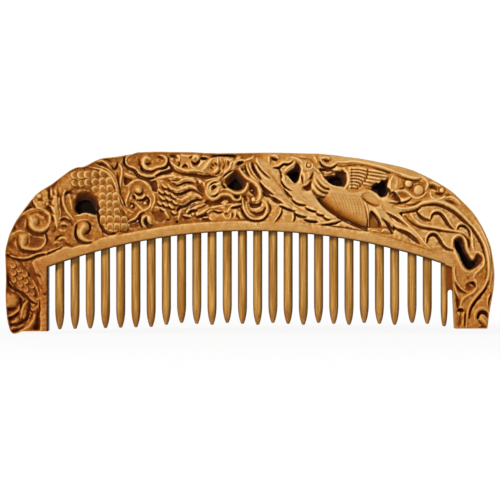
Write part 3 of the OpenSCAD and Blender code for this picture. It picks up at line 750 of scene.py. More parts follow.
phoenixHead = {"masses": [
    (-1, 0.65, 5, [(296, 157.5), (304, 158.5), (312, 160.5), (317, 166.5), (321, 173), (325.5, 181.5),
     (329.3, 186.8), (328.5, 190.5), (327.5, 193), (323.5, 197), (317, 198), (312, 191.5), (311, 185),
     (312, 178.5), (308.5, 180.5), (304.7, 184), (302.8, 178), (303.3, 170), (301, 163)]),
], "ribs": [
    (1.2, 0.75, (290, 157.7), (296, 158.8), (301, 161.7), (303.7, 165.7)),
    (0.9, 0.6, (306.2, 162.6), (305, 165.8), (306.6, 168.7), (309.5, 169.4), (312.3, 167.3), (312.2, 163.8)),
    (1.1, 0.6, (303.2, 173), (304.3, 178), (303.6, 183.3)),
    (0.9, 0.35, (307, 171), (309, 175), (308.5, 179)),
    (1.1, 0.6, (312.8, 167), (316, 170.5), (320.3, 173.6)),
    (1.1, 0.65, (320.8, 174), (322.8, 178), (326, 181.8), (330.5, 184.8), (336, 187), (341, 188)),
    ((0.5, 0.9, 1.2, 1.4, 0.9), 0.6, (315.5, 173), (319.5, 180), (323.5, 184.5), (328.8, 187.5)),
    ((0.5, 0.9, 1.2, 1.4, 0.9), 0.6, (313.5, 178), (317.5, 185.3), (322, 189), (328, 191.2)),
    ((0.5, 0.9, 1.2, 1.4, 0.9), 0.6, (312, 184), (315.5, 189.7), (319.5, 193), (324.3, 195.3)),
    (1.3, 0.85, (320.8, 158.8), (321, 161.5), (324.3, 164.5), (328.3, 166.3), (332.3, 165.8),
     (336.5, 162.3)),
    (1.1, 0.75, (321, 158.8), (324.5, 157.8), (328.5, 158.3), (329.3, 160.7)),
    (1.2, 0.8, (319.5, 172.6), (323.5, 172), (327.3, 173), (331, 171.7), (335.5, 171), (340, 168.7)),
    (0.9, 0.5, (313, 156.5), (315.5, 159.5), (317, 163)),
    (1, 0.5, (297, 156.6), (306, 158.5), (313, 162)),
], "cuts": [
    (0.8, 0.9, (306.6, 164), (306.6, 167.2), (309.3, 168.2), (311, 166)),
    ((0.4, 0.7, 1.1, 1.3, 0.9), 1.5, (317, 180), (320.5, 185.5), (324.5, 188.8), (329, 189.7)),
    ((0.4, 0.7, 1.1, 1.3, 0.9), 1.5, (314.8, 185), (318.5, 189.7), (322.5, 192.7), (327.5, 193.6)),
    ((0.4, 0.7, 1.2, 1.4, 0.9), 1.6, (312, 190), (315.5, 194.6), (319, 196.7), (323.8, 197.6)),
    (0.7, 0.5, (314.5, 170.5), (318, 177.5), (322.5, 183), (327, 185.6)),
    (1.1, 1.2, (301.5, 175.5), (302.3, 180), (303, 184.5)),
    (1.2, 1.1, (309.5, 180), (312, 176), (313, 172)),
    (1.1, 1.4, (323.8, 160), (326.5, 161.6), (329.8, 160.8)),
    (1.5, 1.9, (319.5, 162), (322, 166), (326.5, 168.3), (331.5, 168.3), (337, 165)),
    (1, 1, (313.5, 168.5), (317, 172), (320, 174.5)),
    (1, 0.7, (303.5, 170), (305, 172), (308, 171.5)),
    (0.9, 0.8, (301, 158.5), (309, 159.8), (315, 164.5)),
], "balls": [(308.6, 165.7, 1.7, 0.55)]}

phoenixBody = {"scraped": [
    [(318, 180), (332, 184), (346, 187), (362, 192), (378, 198), (384, 212), (376, 230), (356, 226),
     (342, 219), (330, 211), (320, 200)],
], "masses": [
    (-3, 2.85, 18, [(312, 186), (316, 170), (330, 170), (345, 173), (360, 177), (376, 183), (396, 194),
     (402, 212), (392, 232), (369, 231.5), (357, 227.5), (344, 221.5), (333, 215), (324, 207.5),
     (317, 199)], 0.95),
    (-0.85, 0.6, 5, [(380.5, 197.5), (390, 199), (400, 203.5), (416, 204), (421, 205), (412, 210.8),
     (400, 212.6), (402, 217), (411, 227), (424, 242.5), (414, 236.5), (404, 230.5), (395, 227.5),
     (389, 219), (382, 208)]),
    (-2.1, 0.35, 4, [(370.6, 211), (374, 213), (379, 219.5), (381, 227), (374, 228.5), (369, 227),
     (368.4, 216)]),
    (-1.35, 0.3, 3, [(368, 228), (380, 228), (391, 229), (392.5, 233.5), (381, 234), (369, 232.3)]),
    (-0.9, 0.45, 5, [(361.5, 196), (365, 193), (371, 193), (376.5, 197.5), (380, 203), (377.5, 206),
     (371, 205), (365, 201.5)]),
    (-0.9, 0.4, 3, [(347, 168), (357, 167), (370, 167.5), (386, 174), (388, 177), (380, 181), (374, 184),
     (368, 187.5), (358, 192), (347, 190)]),
], "sinks": [
    (-3.5, 3.2, [(320.8, 174.2), (325, 175.3), (330, 174.5), (335.5, 173.3), (339, 170.5), (342.3, 169),
     (346, 172.5), (347.5, 178), (347, 184), (344, 188.3), (338, 187.5), (332, 185.8), (327, 183),
     (323, 179)]),
    (-3.5, 2.2, [(366.5, 188.3), (370.5, 188.2), (370, 185.6), (374.5, 185.3), (374.2, 182.6),
     (379.3, 182.3), (379, 179.6), (384.5, 179.2), (388.5, 177.5), (388, 186), (388.5, 193),
     (385.5, 197.5), (380, 198.3), (375.8, 194.5), (370, 190.7)]),
    (-2.9, 1.8, [(335, 165), (342, 165.7), (350, 164.6), (360, 164.3), (370, 166.3), (381, 169.3),
     (391, 173), (388, 174.5), (378, 171), (369, 168), (360, 166.5), (350, 166.7), (341, 168)]),
], "ribs": [
    (1.5, 0.85, (336.5, 162.3), (345, 162.6), (352, 161.7), (360, 162.6), (370, 164.6), (380, 167),
     (390, 170.4), (401, 174.3)),
    (1.3, 0.8, (343.5, 168.5), (347, 172.5), (348.5, 178), (347.8, 183.5), (344.8, 188.5)),
    ((0.6, 0.9, 1.1, 0.9, 0.5), 0.5, (364.5, 203), (367, 210), (368.5, 218), (368, 227)),
    (1.1, 0.5, (374, 208), (378.3, 214.5), (381.2, 222)),
    (1.1, 0.45, (384, 211.5), (388, 217.5), (391.5, 224), (394, 231)),
    (1, 0.4, (370, 231.3), (374, 230.5), (379, 232)),
    (1, 0.5, (380.5, 233), (384.5, 229.5), (388.5, 231.5)),
], "cuts": [
    ((0.4, 0.9, 1.1, 0.9, 0.5), 1, (360.5, 196.5), (365, 201), (370, 204.3), (375, 206.3), (379.5, 205.5)),
    ((0.5, 0.8, 0.9, 0.8), 1, (364.8, 206), (366.5, 214), (367.3, 221), (367, 227)),
    ((0.5, 0.9, 1.1, 1.1, 0.8), 0.9, (317.5, 199.5), (322, 205), (330, 212), (338, 218)),
    ((0.8, 1.2, 1.4, 1.3, 0.8), 1.3, (338, 218.3), (343, 220.6), (350, 223.6), (357, 226.6), (366, 230)),
    ((0.6, 1, 1.2, 1, 0.7), 1.5, (371, 211), (374.7, 215.7), (378.3, 221), (379.2, 226)),
    ((0.6, 1.3, 1.7, 1.5, 0.8), 2, (381.5, 218.5), (385.5, 222), (389, 227), (391.8, 234)),
    (0.9, 1, (328, 226), (345, 228), (360, 230.4), (367.5, 231.7)),
    (0.8, 0.6, (370, 233), (381, 235.6), (390, 237.6), (402, 241.2), (415, 245.4), (428, 250), (440, 254.2)),
] + [
    (0.65, 0.34, (329 + 3.4 * i, 189.5 + 0.6 * i), (334 + 3.3 * i, 198 + 0.6 * i),
     (337.5 + 3.1 * i, 207 + 0.6 * i), (339.5 + 2.9 * i, 214 + 0.7 * i)) for i in range(11)
]}

# the wing behind the bird, in rows of feathers; a stroke is its width, its height or depth, and its points,
# from the feather's end for a notch and from the row for a bead
farWing = {
    "top": 168.3, "pitch": 3.05, "root": 351.8, "ends": [366.5, 366.5, 365.5, 364, 361.5, 359, 356.5],
    "tips": [(385, 173.4), (386, 176.5), (379.5, 179.4), (374, 182), (368.5, 184.8)],
    "feather": (0.8, 1.2, 1.5, 1.6, 1.2), "height": 0.75, "gap": 0.7, "gapDepth": 1.0, "gapShift": 0.6,
    "droop": 2.0, "droopStep": 0.4, "steepest": 0.28, "tipGap": 0.8, "bend": 0.2, "sag": 0.45,
    "notch": (0.9, 1.2, (0.4, -1.2), (0.9, 0.6), (0.2, 1.6)),
    "bead": (1.3, 0.6, (348.8, 1.5), (349.8, 0.2), (351, -0.3)),
    "beadGap": (0.8, 1.0, (350.6, 1.6), (352.4, 1.7)),
}


def carveFarWing(wing):
    # a beaded leading edge, a tier of short feathers, and long feathers fanning out behind them
    root = wing["root"]
    for row, end in enumerate(wing["ends"]):
        y = wing["top"] + row * wing["pitch"]
        drop = min(wing["droop"] + wing["droopStep"] * row, wing["steepest"] * (end - root))
        low = y + drop
        feathers = [[(root, y), (0.5 * (root + end), y + wing["bend"] * drop), (end, low)]]
        if row < len(wing["tips"]):
            x1, y1 = wing["tips"][row]
            between = (0.5 * (end + x1), (1.0 - wing["sag"]) * low + wing["sag"] * y1)
            feathers.append([(end + wing["tipGap"], low), between, (x1, y1)])
        for feather in feathers:
            stroke(ribs, wing["feather"], wing["height"], *feather)
            below = [(a + wing["gapShift"], b + 0.5 * wing["pitch"]) for a, b in feather]
            stroke(cuts, wing["gap"], wing["gapDepth"], *below)
        strokeAt(cuts, end, low, *wing["notch"])
        strokeAt(ribs, 0.0, y, *wing["bead"])
        strokeAt(cuts, 0.0, y, *wing["beadGap"])


plumes = {"cutShare": 0.8, "masses": [
    (-1.1, 0.5, 3, [(391, 176), (396, 176), (403, 182), (402, 189), (396, 190.5), (391, 192), (389.5, 185)]),
    (-1, 0.45, 4, [(392, 206), (404, 208), (416, 206), (428, 202), (440, 202.5), (454, 208.5), (466, 219),
     (476, 232), (484, 249), (486, 268), (483, 285), (474, 296), (467, 306), (466, 326), (487, 326),
     (491, 300), (493.5, 270), (489, 243), (476, 217), (456, 197), (430, 196)]),
], "sinks": [
    (-2.8, 1.9, [(379, 168.5), (388, 171.3), (398, 175.3), (408, 178.7), (417, 179.7), (421, 179),
     (419, 182), (411, 182), (402, 179.7), (393, 175), (384, 172)]),
    (-1.5, 2.2, [(392, 196), (397, 192.8), (403, 191.8), (408, 194.5), (411, 197.5), (405, 198.7),
     (398, 200), (392, 199)]),
    (-2.1, 2, [(412, 181.5), (419, 181), (424, 184), (424.5, 189), (423, 185.5), (418.5, 183.5),
     (413.5, 184.5)]),
    (-2.2, 2, [(428, 185), (433, 184.5), (437, 187), (437, 192), (433, 190.5), (429, 189)]),
    (-2, 2, [(443, 200), (449, 199.5), (455, 202), (459, 206.5), (454, 206), (447, 203.3)]),
    (-2.9, 2.6, [(452.3, 240), (455, 237), (459, 235.8), (462.7, 237.8), (464.7, 242), (465.7, 248),
     (468.7, 254), (472, 258), (474.5, 254), (478, 253), (482, 256), (482.7, 260), (480, 265), (475, 269),
     (469.5, 271.5), (464.5, 269), (460.5, 263), (457, 255), (453, 248)]),
    (-2.4, 1.8, [(467, 238), (470, 241), (471, 249), (470.5, 253), (468.8, 249)]),
    (-1.7, 2.2, [(464, 284), (469, 281.4), (473, 284), (474.3, 288.5), (469, 291.6), (464.6, 289)]),
    (-3.1, 1.3, [(468.4, 282.2), (471.5, 280.7), (474.6, 282.3), (475.8, 285.4), (474.6, 288),
     (472.4, 286.2), (470.4, 284.6)]),
    (-3.3, 1.4, [(475.7, 319), (475.9, 313.6), (479, 310), (483.4, 309.5), (487.4, 312), (489.6, 316.5),
     (488.6, 319.6), (485.6, 317.6), (482.6, 314.8), (479.8, 315.2), (478.2, 319)]),
    (-2.6, 1.3, [(487.6, 299), (489.2, 294), (492.4, 291), (492, 295), (490.2, 297.6), (488.8, 302)]),
], "ribs": [
    (1.5, 0.85, (398, 173.3), (407, 176.7), (414, 178.3), (420, 177.7)),
    (1.2, 0.75, (420.5, 176.5), (424, 179.5), (427.2, 183.3), (426.3, 187.5), (424.5, 191)),
    (1.1, 0.6, (393.5, 174.7), (390.3, 180.5), (389.8, 187), (391, 193)),
    (1, 0.35, (396, 178), (396.5, 183), (395, 189)),
    (1.2, 0.75, (390.5, 196), (396, 191.7), (403, 190.5), (408, 193), (412.3, 197), (417, 198.4),
     (422, 196.3), (426.5, 192.3)),
    (1.2, 0.7, (389, 201), (396, 201.8), (402.5, 200.9), (407.5, 199), (411, 196.3)),
    (1.1, 0.6, (427.5, 183.2), (433, 183.2), (438, 185.8), (442, 188)),
    (1.2, 0.7, (429.5, 191.5), (430.8, 197), (435, 199.6), (440, 199), (444.5, 196.6), (450, 193.5)),
    (1.1, 0.6, (443.5, 198), (450, 197), (455.3, 199.3), (460, 205)),
    (1.6, 0.9, (393, 206.5), (403, 208.7), (410, 208), (416, 206.3), (421, 203.6), (428, 201.8),
     (436, 201.3), (444.5, 203.6), (453, 207.8), (459, 212.4), (465, 218), (470.5, 224)),
    (1.6, 0.9, (470.5, 224), (475, 229.5), (479, 235.5), (482.7, 242), (485.5, 249.5), (487.3, 258),
     (488, 267), (487.2, 276), (485.5, 283), (482, 289), (477, 294.3), (473, 299.3), (469.3, 305),
     (467.2, 311), (466.2, 318), (466, 327)),
    (1.2, 0.8, (429, 220), (429.8, 215.5), (432.2, 212), (436.3, 210.6), (441, 212), (445, 216),
     (448.2, 221), (451.5, 226.3), (456, 229.8)),
    (1.2, 0.75, (409.5, 213), (413.5, 219), (418, 223), (423, 225.4), (430, 226.6), (437, 227.7),
     (446, 229.7), (455, 231), (462, 232.6), (466.5, 236)),
    (1.2, 0.7, (399.5, 215), (404.5, 222), (410, 227), (415.5, 232.5), (420.5, 238), (424.5, 243.7),
     (430.5, 249)),
    (1.2, 0.8, (425, 244), (425.4, 238.5), (428, 234), (432, 231.7), (436.3, 233), (439.2, 236.7),
     (441.7, 241), (444.4, 245), (448.5, 247.5), (453, 248.6)),
    (1.2, 0.75, (455.3, 229.5), (456.3, 226), (459.3, 223.5), (463.5, 223.8), (467.5, 226.3), (470.5, 231)),
    (1.2, 0.8, (451.6, 247), (451.8, 240.5), (455, 236), (459, 234.8), (463.2, 237), (465.4, 241.5),
     (466.3, 247.5), (468.8, 253)),
    (1.1, 0.65, (470.8, 232), (471.5, 240), (472.2, 247), (474, 251.7)),
    (1.2, 0.75, (473.7, 253), (477.5, 251.8), (481.7, 254.6), (483.7, 259), (482.6, 265), (478.5, 269.8),
     (474.3, 274), (472.5, 278.5)),
    (1.2, 0.7, (452.5, 249.5), (456, 256), (459, 262.3), (461.5, 267.5), (465, 271), (469.5, 272.7)),
    (1.2, 0.7, (453.8, 267), (453.6, 273), (455, 280), (458.3, 286), (462.4, 290), (467, 292)),
    (1.2, 0.75, (475.8, 284.5), (475.2, 288.8), (471.5, 292.8), (466, 295.8), (462, 299), (460.2, 303.3),
     (460.3, 308)),
    (1, 0.5, (472.5, 278.5), (475, 280.5), (475.8, 284.5)),
    (1.1, 0.5, (491.3, 293), (488, 296), (486.7, 301), (487.3, 308)),
    (1.1, 0.75, (474.2, 320), (474.2, 313.6), (477.6, 308.8), (483, 307.6), (488, 310)),
    ((0.8, 1.6, 1.7, 0.8), 0.7, (479.8, 315.6), (482, 318.8), (485.6, 323.4)),
    (1.1, 0.6, (458.4, 307.8), (461, 306.8), (463.6, 308.4)),
    (1, 0.4, (457, 310), (459, 315), (458.5, 326)),
    (1, 0.4, (463, 309), (463.3, 316), (462.3, 326)),
    (1, 0.4, (453.5, 284), (456, 292), (459, 299)),
    (1, 0.45, (472, 218), (480, 229), (486.5, 244), (490, 260), (490.5, 276), (488.5, 288)),
    (1.2, 0.6, (395, 225.5), (402, 228.5), (409, 231.5), (415, 236)),
    (1.2, 0.6, (386, 210.5), (393, 214.7), (401, 219.5), (408, 225)),
], "cuts": [
    (1.2, 1.3, (404, 187.5), (401.5, 189.3), (399, 189.3)),
    (1.2, 1.2, (411.8, 185), (411, 188), (408.5, 189.5)),
    ((0.7, 1.2, 1.2, 0.7), 1.5, (389.5, 203.2), (397.5, 203.8), (404.5, 202.3), (411, 198.7)),
    (1.3, 1.5, (435, 193), (439.5, 194.8), (443.7, 193)),
    (1.1, 1.3, (444, 196.4), (447, 195.6), (449.5, 194)),
    ((0.7, 1.1, 1.2, 0.9), 1.2, (405, 205), (413, 205), (420, 201.5)),
    ((0.8, 1.2, 1.3, 1.3), 1.6, (399, 213.6), (408, 212.3), (415, 211), (419.5, 207.6)),
    ((0.8, 1.3, 1.6, 1.7, 1.7, 1.5), 2, (420, 206.4), (429, 205), (437, 205.4), (446, 208.4),
     (453.5, 212.8), (460, 218.3), (466, 224), (471, 228.5)),
    ((1.4, 1.5, 1.3, 1, 0.7), 1.8, (470.5, 227.5), (475.5, 235), (480, 243), (483.2, 252), (485.2, 263)),
    ((0.8, 1.5, 1.7, 1.4, 0.8), 2, (487.4, 281), (483.9, 289.4), (478.4, 296.6), (473, 303.4),
     (469.6, 310), (468.5, 318)),
    ((0.9, 1.6, 1.8, 1.2), 2, (415.5, 210.5), (418.3, 215), (422.5, 218.8), (429.3, 220.7)),
    ((0.8, 1.6, 2, 2, 1.7, 0.8), 2, (430.6, 219), (431.8, 215), (435.3, 213), (440, 214.2), (444, 219),
     (448, 225), (453, 229.7)),
    ((0.7, 1.2, 1.5, 1.5, 1.3, 1, 0.7), 1.7, (404.5, 216), (409, 221), (414.5, 225.2), (421, 228),
     (430, 229.4), (440, 231), (450, 232.3), (458, 233.4)),
    ((0.7, 1.6, 1.9, 1.3, 0.6), 2, (386.5, 213.3), (393, 217), (400, 221.5), (407.5, 227)),
    ((0.8, 1.8, 2.3, 2.4, 1), 2.1, (393, 228), (400.5, 231), (407.5, 234.2), (413, 238.4), (419, 243.5)),
    ((0.7, 1.7, 2.1, 2.1, 1.8, 0.9), 2, (426.4, 243), (427.4, 237.5), (431, 234.6), (436, 236), (440, 241),
     (443.5, 246.5), (448, 249.5), (453, 250.7)),
    ((0.7, 1.4, 1.7, 1.4, 0.8), 1.9, (457, 229), (459, 226.2), (463.5, 226.4), (467.7, 230), (469.5, 236.5)),
    ((0.6, 1.2, 1.4, 1), 1.6, (458.5, 233.5), (463, 235.6), (467, 240), (468.3, 247)),
    ((0.6, 1.5, 1.7, 0.8), 1.8, (455, 282), (457.5, 287.3), (461.5, 291.3), (465.5, 293)),
    (2, 2.7, (456.8, 310.8), (460, 309.9), (463, 311)),
    (1.8, 1.3, (455.6, 297), (457.2, 302), (457.2, 308)),
    (1.5, 1.2, (459.6, 313), (459.4, 319), (458.4, 327)),
    (1.5, 1.1, (464.8, 311), (464.3, 318), (463.8, 327)),
    (0.9, 0.9, (452, 286), (454.7, 293.5), (459, 301.5), (457.5, 307)),
    (0.9, 1, (488.5, 297), (487.8, 304), (488.8, 309)),
    (1, 1.3, (477.6, 319.6), (480.4, 323.2), (484, 326)),
    (1.3, 1.3, (478, 327.5), (483, 326.8), (488, 327)),
    (0.9, 0.8, (490, 250), (491, 262), (490.7, 273)),
    (0.9, 0.7, (472.5, 275), (468.7, 276.3), (466.5, 280)),
    (1, 0.9, (486, 266), (486.3, 274), (484, 281)),
], "balls": [(408, 183.8, 3.8, 0.5), (418, 190.3, 5.2, 0.5), (441.3, 190.3, 2.6, 0.45)]}

# openings right through the board, as outlines in photo pixels
openings = {
    "coil": [(75.3, 209), (76.5, 205), (79.5, 201.5), (85, 200), (90, 201), (93.3, 205), (95, 209.5),
        (97.3, 212), (95.5, 214.8), (92, 213.8), (86, 213), (82, 213.6), (79.6, 214.8)],
    "jaw": [(227.3, 186.7), (231, 182.5), (235.3, 178.5), (238.5, 181.5), (241, 185), (242.5, 188.5),
        (238.5, 190.6), (233.5, 190.3), (229.5, 188.5)],
    "beak": [(288, 176), (290.5, 173), (295, 171.7), (298.4, 172.5), (299, 177), (297.3, 181),
        (294.5, 183.4), (291.5, 180.7)],
    "neck": [(327, 181), (330, 178.5), (335.5, 177), (340.2, 178.3), (341.7, 182), (340.8, 186),
        (336.5, 186.6), (331, 184.9)],
    "tail": [(371.8, 188.2), (376, 185), (379.5, 182), (383, 181.5), (385, 186.5), (385.6, 192),
        (382, 196.4), (378.6, 195.2), (377.2, 190.3)],
    "plume": [(454, 241.5), (457.5, 241.5), (461, 247.5), (464.6, 254.5), (469.3, 260.6), (473.5, 262),
        (474.5, 265.5), (470.5, 269), (466, 268.5), (462.3, 263.5), (458.5, 255.5), (454.8, 248.5)],
}


def blurred(field, sigma):
    # sigma in photo pixels
    s = sigma * reliefGrid["perPixel"]
    reach = int(3 * s) + 1
    kernel = np.exp(-0.5 * (np.arange(-reach, reach + 1) / s)**2)
    kernel /= kernel.sum()
    padded = np.pad(field, reach, mode="edge")
    rows = sum(k * padded[i:i + field.shape[0], :] for i, k in enumerate(kernel))
    return sum(k * rows[:, i:i + field.shape[1]] for i, k in enumerate(kernel))


def modelledHeight():
    # each cut lies in a wide valley, low ground keeps its tool marks, and the tops round off under the face
    m = modelling
    height = base + m["rib"] * ribs
    height = height - m["cut"] * cuts - m["valley"] * blurred(cuts, m["valleyWidth"])
    marks = blurred(np.random.default_rng(m["markSeed"]).standard_normal(base.shape), m["markWidth"])
    low = smooth((-height - m["markDepth"]) / m["markFade"])
    height = height + m["toolMarks"] * rough * marks / marks.std() * low
    soft = levels["softTop"]
    top = -soft + soft * np.tanh(np.maximum(height + soft, 0.0) / soft)
    return np.maximum(np.where(height > -soft, top, height), levels["deepest"])


def lowerDragonGround():
    # the ground is cut deeper behind the dragon, and rises to the bird's side
    across, _ = gridPoints()
    share = smooth((levels["dragonEnds"] - across) / levels["groundRise"])
    base[:] += (levels["dragonGround"] - levels["ground"]) * share


def carveAll():
    lowerDragonGround()
    for motif in (leftClouds, dragonCoil, dragonTail, clouds, dragonHead):
        carve(motif)
    carveManeCurls(maneCurls)
    for motif in (phoenixBody, phoenixWing, wingGround, phoenixHead):
        carve(motif)
    carveFarWing(farWing)
    carve(plumes)
    base[:] += levels["sunk"]
    carve(bandAndRim)


# the board, in millimetres; the arch's ends and band, the reach and limits of the fields, the blurs and
# the openings' rim are in photo pixels
board = {"halfThickness": 5.0, "edgeRound": 1.1, "archRound": 0.6, "archEnds": (47, 456), "archBand": 6.0,
         "meshEvery": 2, "sectionAt": -2.5, "fieldReach": 5.0, "leastDepth": 0.04, "outlineNear": 1.0,
         "triangles": 190000, "depthRange": 3.5, "blur": 0.3, "edgeStrip": 0.1, "edgeDepth": 0.16,
         "edgeFade": 0.8, "ridgeBlur": 1.6, "ridgeRange": 0.5, "hollowBlur": 5.0, "hollowRange": 1.2,
         "openingRim": 1.0, "openingFade": 6.0, "sharpAngle": 60}


def outlineOf(node):
    # the longest loop of the CAD board's section between sockets and face, across and up in millimetres
    mesh = node.data
    co = np.empty(len(mesh.vertices) * 3)
    mesh.vertices.foreach_get("co", co)
    co, weld = np.unique(np.round(co.reshape(-1, 3) / mm, 3), axis=0, return_inverse=True)
    mesh.calc_loop_triangles()
    corners = np.empty(len(mesh.loop_triangles) * 3, int)
    mesh.loop_triangles.foreach_get("vertices", corners)
    corners = weld.ravel()[corners].reshape(-1, 3)
    above = co[:, 1] > board["sectionAt"]
    following = {}
    for t in corners:
        ends = {}
        for a, b in zip(t, np.roll(t, -1)):
            if above[a] != above[b]:
                ends[bool(above[a])] = (min(a, b), max(a, b))
        if ends:
            following[ends[True]] = ends[False]
    loops = []
    while following:
        start, at = following.popitem()
        loop = [start]
        while at in following:
            loop.append(at)
            at = following.pop(at)
        a, b = co[[e[0] for e in loop]], co[[e[1] for e in loop]]
        share = (board["sectionAt"] - a[:, 1]) / (b[:, 1] - a[:, 1])
        loops.append((a + share[:, None] * (b - a))[:, [0, 2]])
    return max(loops, key=lambda p: np.hypot(*(np.roll(p, -1, 0) - p).T).sum())


# places where the knife took a little more off the outline, in millimetres: across, up, reach and depth
handCuts = {"middle": (0.0, 25.0),
            "spots": [(32.2, 66.0, 5.0, 0.5), (-13.0, 66.8, 7.0, 0.5), (-45.5, 65.5, 8.0, 0.25),
                      (-89.5, 27.0, 8.0, 0.65), (-84.5, 45.0, 7.0, 0.5), (-72.0, 56.5, 8.0, 0.25)]}


def handEased(outline):
    toMiddle = np.array(handCuts["middle"]) - outline
    toMiddle /= np.hypot(*toMiddle.T)[:, None]
    eased = outline.copy()
    for x, z, reach, depth in handCuts["spots"]:
        away = np.hypot(outline[:, 0] - x, outline[:, 1] - z)
        eased += toMiddle * (depth * np.exp(-(away / reach)**2))[:, None]
    return eased


def edgeFields(outline):
    # signed distances in photo pixels, positive in the wood, from the outline and from the openings
    ring = toPhoto(outline)
    reach = board["fieldReach"]
    cells, distance, _ = nearPath(np.vstack([ring, ring[:1]]), reach)
    wood = np.full_like(base, -reach)
    wood[cells] = np.where(insideOf(ring, cells), 1.0, -1.0) * np.minimum(distance, reach)
    clear = np.full_like(base, 2.0 * reach)
    for points in openings.values():
        part, depth = outlineField(points, 2.0 * reach)
        clear[part] = np.minimum(clear[part], -depth)
    return wood, clear


def roundedEdge(distance, radius):
    # how far the face has dropped, at a distance in millimetres from an edge of that radius
    gap = np.clip(radius - distance, 0.0, radius)
    return radius - np.sqrt(radius**2 - gap**2)


def boardSurface(wood, clear, heights):
    # marches over the grid: whole cells become quads, and cells on an edge are cut along it
    every = board["meshEvery"]
    solid = np.minimum(wood, clear)[::every, ::every]
    solid = np.where(np.abs(solid) < board["leastDepth"], board["leastDepth"], solid)
    heightGrid = heights[::every, ::every]
    across, down = gridPoints()
    x, y = across[0, ::every], down[::every, 0]
    inside = solid > 0
    ids = np.full(solid.shape, -1)
    ids[inside] = np.arange(inside.sum())
    places = np.stack(np.broadcast_arrays(x[None, :], y[:, None], heightGrid), -1)[inside].tolist()
    whole = inside[1:, :-1] & inside[1:, 1:] & inside[:-1, 1:] & inside[:-1, :-1]
    some = inside[1:, :-1] | inside[1:, 1:] | inside[:-1, 1:] | inside[:-1, :-1]
    r, c = np.nonzero(whole)
    faces = np.stack([ids[r + 1, c], ids[r + 1, c + 1], ids[r, c + 1], ids[r, c]], -1).tolist()
    crossings = {}
    rims = []

    def crossing(a, b):
        key = (min(a, b), max(a, b))
        if key not in crossings:
            t = solid[a] / (solid[a] - solid[b])
            crossings[key] = len(places)
            near = a if inside[a] else b
            atX = x[a[1]] + t * (x[b[1]] - x[a[1]])
            atY = y[a[0]] + t * (y[b[0]] - y[a[0]])
            places.append([atX, atY, heightGrid[near]])
        return crossings[key]

    for r, c in zip(*np.nonzero(some & ~whole)):
        ring = [(r + 1, c), (r + 1, c + 1), (r, c + 1), (r, c)]
        face, leave, enter = [], None, None
        for a, b in zip(ring, ring[1:] + ring[:1]):
            if inside[a]:
                face.append(int(ids[a]))
            if inside[a] != inside[b]:
                at = crossing(a, b)
                face.append(at)
                if inside[a]:
                    leave = at
                else:
                    enter = at
        if sum(inside[a] for a in ring) == 2 and inside[ring[0]] == inside[ring[2]]:
            continue
        faces.append(face)
        rims.append((leave, enter))
    return np.array(places), faces, rims


def sampled(field, places):
    # bilinear reading of a field at photo pixels, kept inside the last cell
    u = np.clip((places[:, 0] - reliefGrid["left"]) * reliefGrid["perPixel"] - 0.5, 0, gridColumns - 1.001)
    v = np.clip((places[:, 1] - reliefGrid["top"]) * reliefGrid["perPixel"] - 0.5, 0, gridRows - 1.001)
    c, r = u.astype(int), v.astype(int)
    s, t = u - c, v - r
    upper = field[r, c] * (1 - s) + field[r, c + 1] * s
    lower = field[r + 1, c] * (1 - s) + field[r + 1, c + 1] * s
    return upper * (1 - t) + lower * t


def thinned(made, triangles):
    # collapses the flat stretches first, so the lines keep their shape
    count = sum(len(f.vertices) - 2 for f in made.data.polygons)
    reduce = made.modifiers.new("thin", "DECIMATE")
    reduce.ratio = min(1.0, triangles / count)
    reduce.use_collapse_triangulate = True
    result = bpy.data.meshes.new_from_object(made.evaluated_get(bpy.context.evaluated_depsgraph_get()))
    made.modifiers.remove(reduce)
    return result


# the arc over the teeth and the stretch of it that is open, in millimetres
archCurve = {"middle": 0.4, "radius": 214.6, "centre": -176.9, "openMiddle": -1.15, "openHalf": 73.1}


def archRow(column):
    # the photo row of the arch's underside
    x = toComb(np.stack([column, column * 0.0], -1))[..., 0]
    up = archCurve["centre"] + np.sqrt(archCurve["radius"]**2 - (x - archCurve["middle"])**2)
    return photoView["groundRow"] - up / photoView["mmPerPixel"]


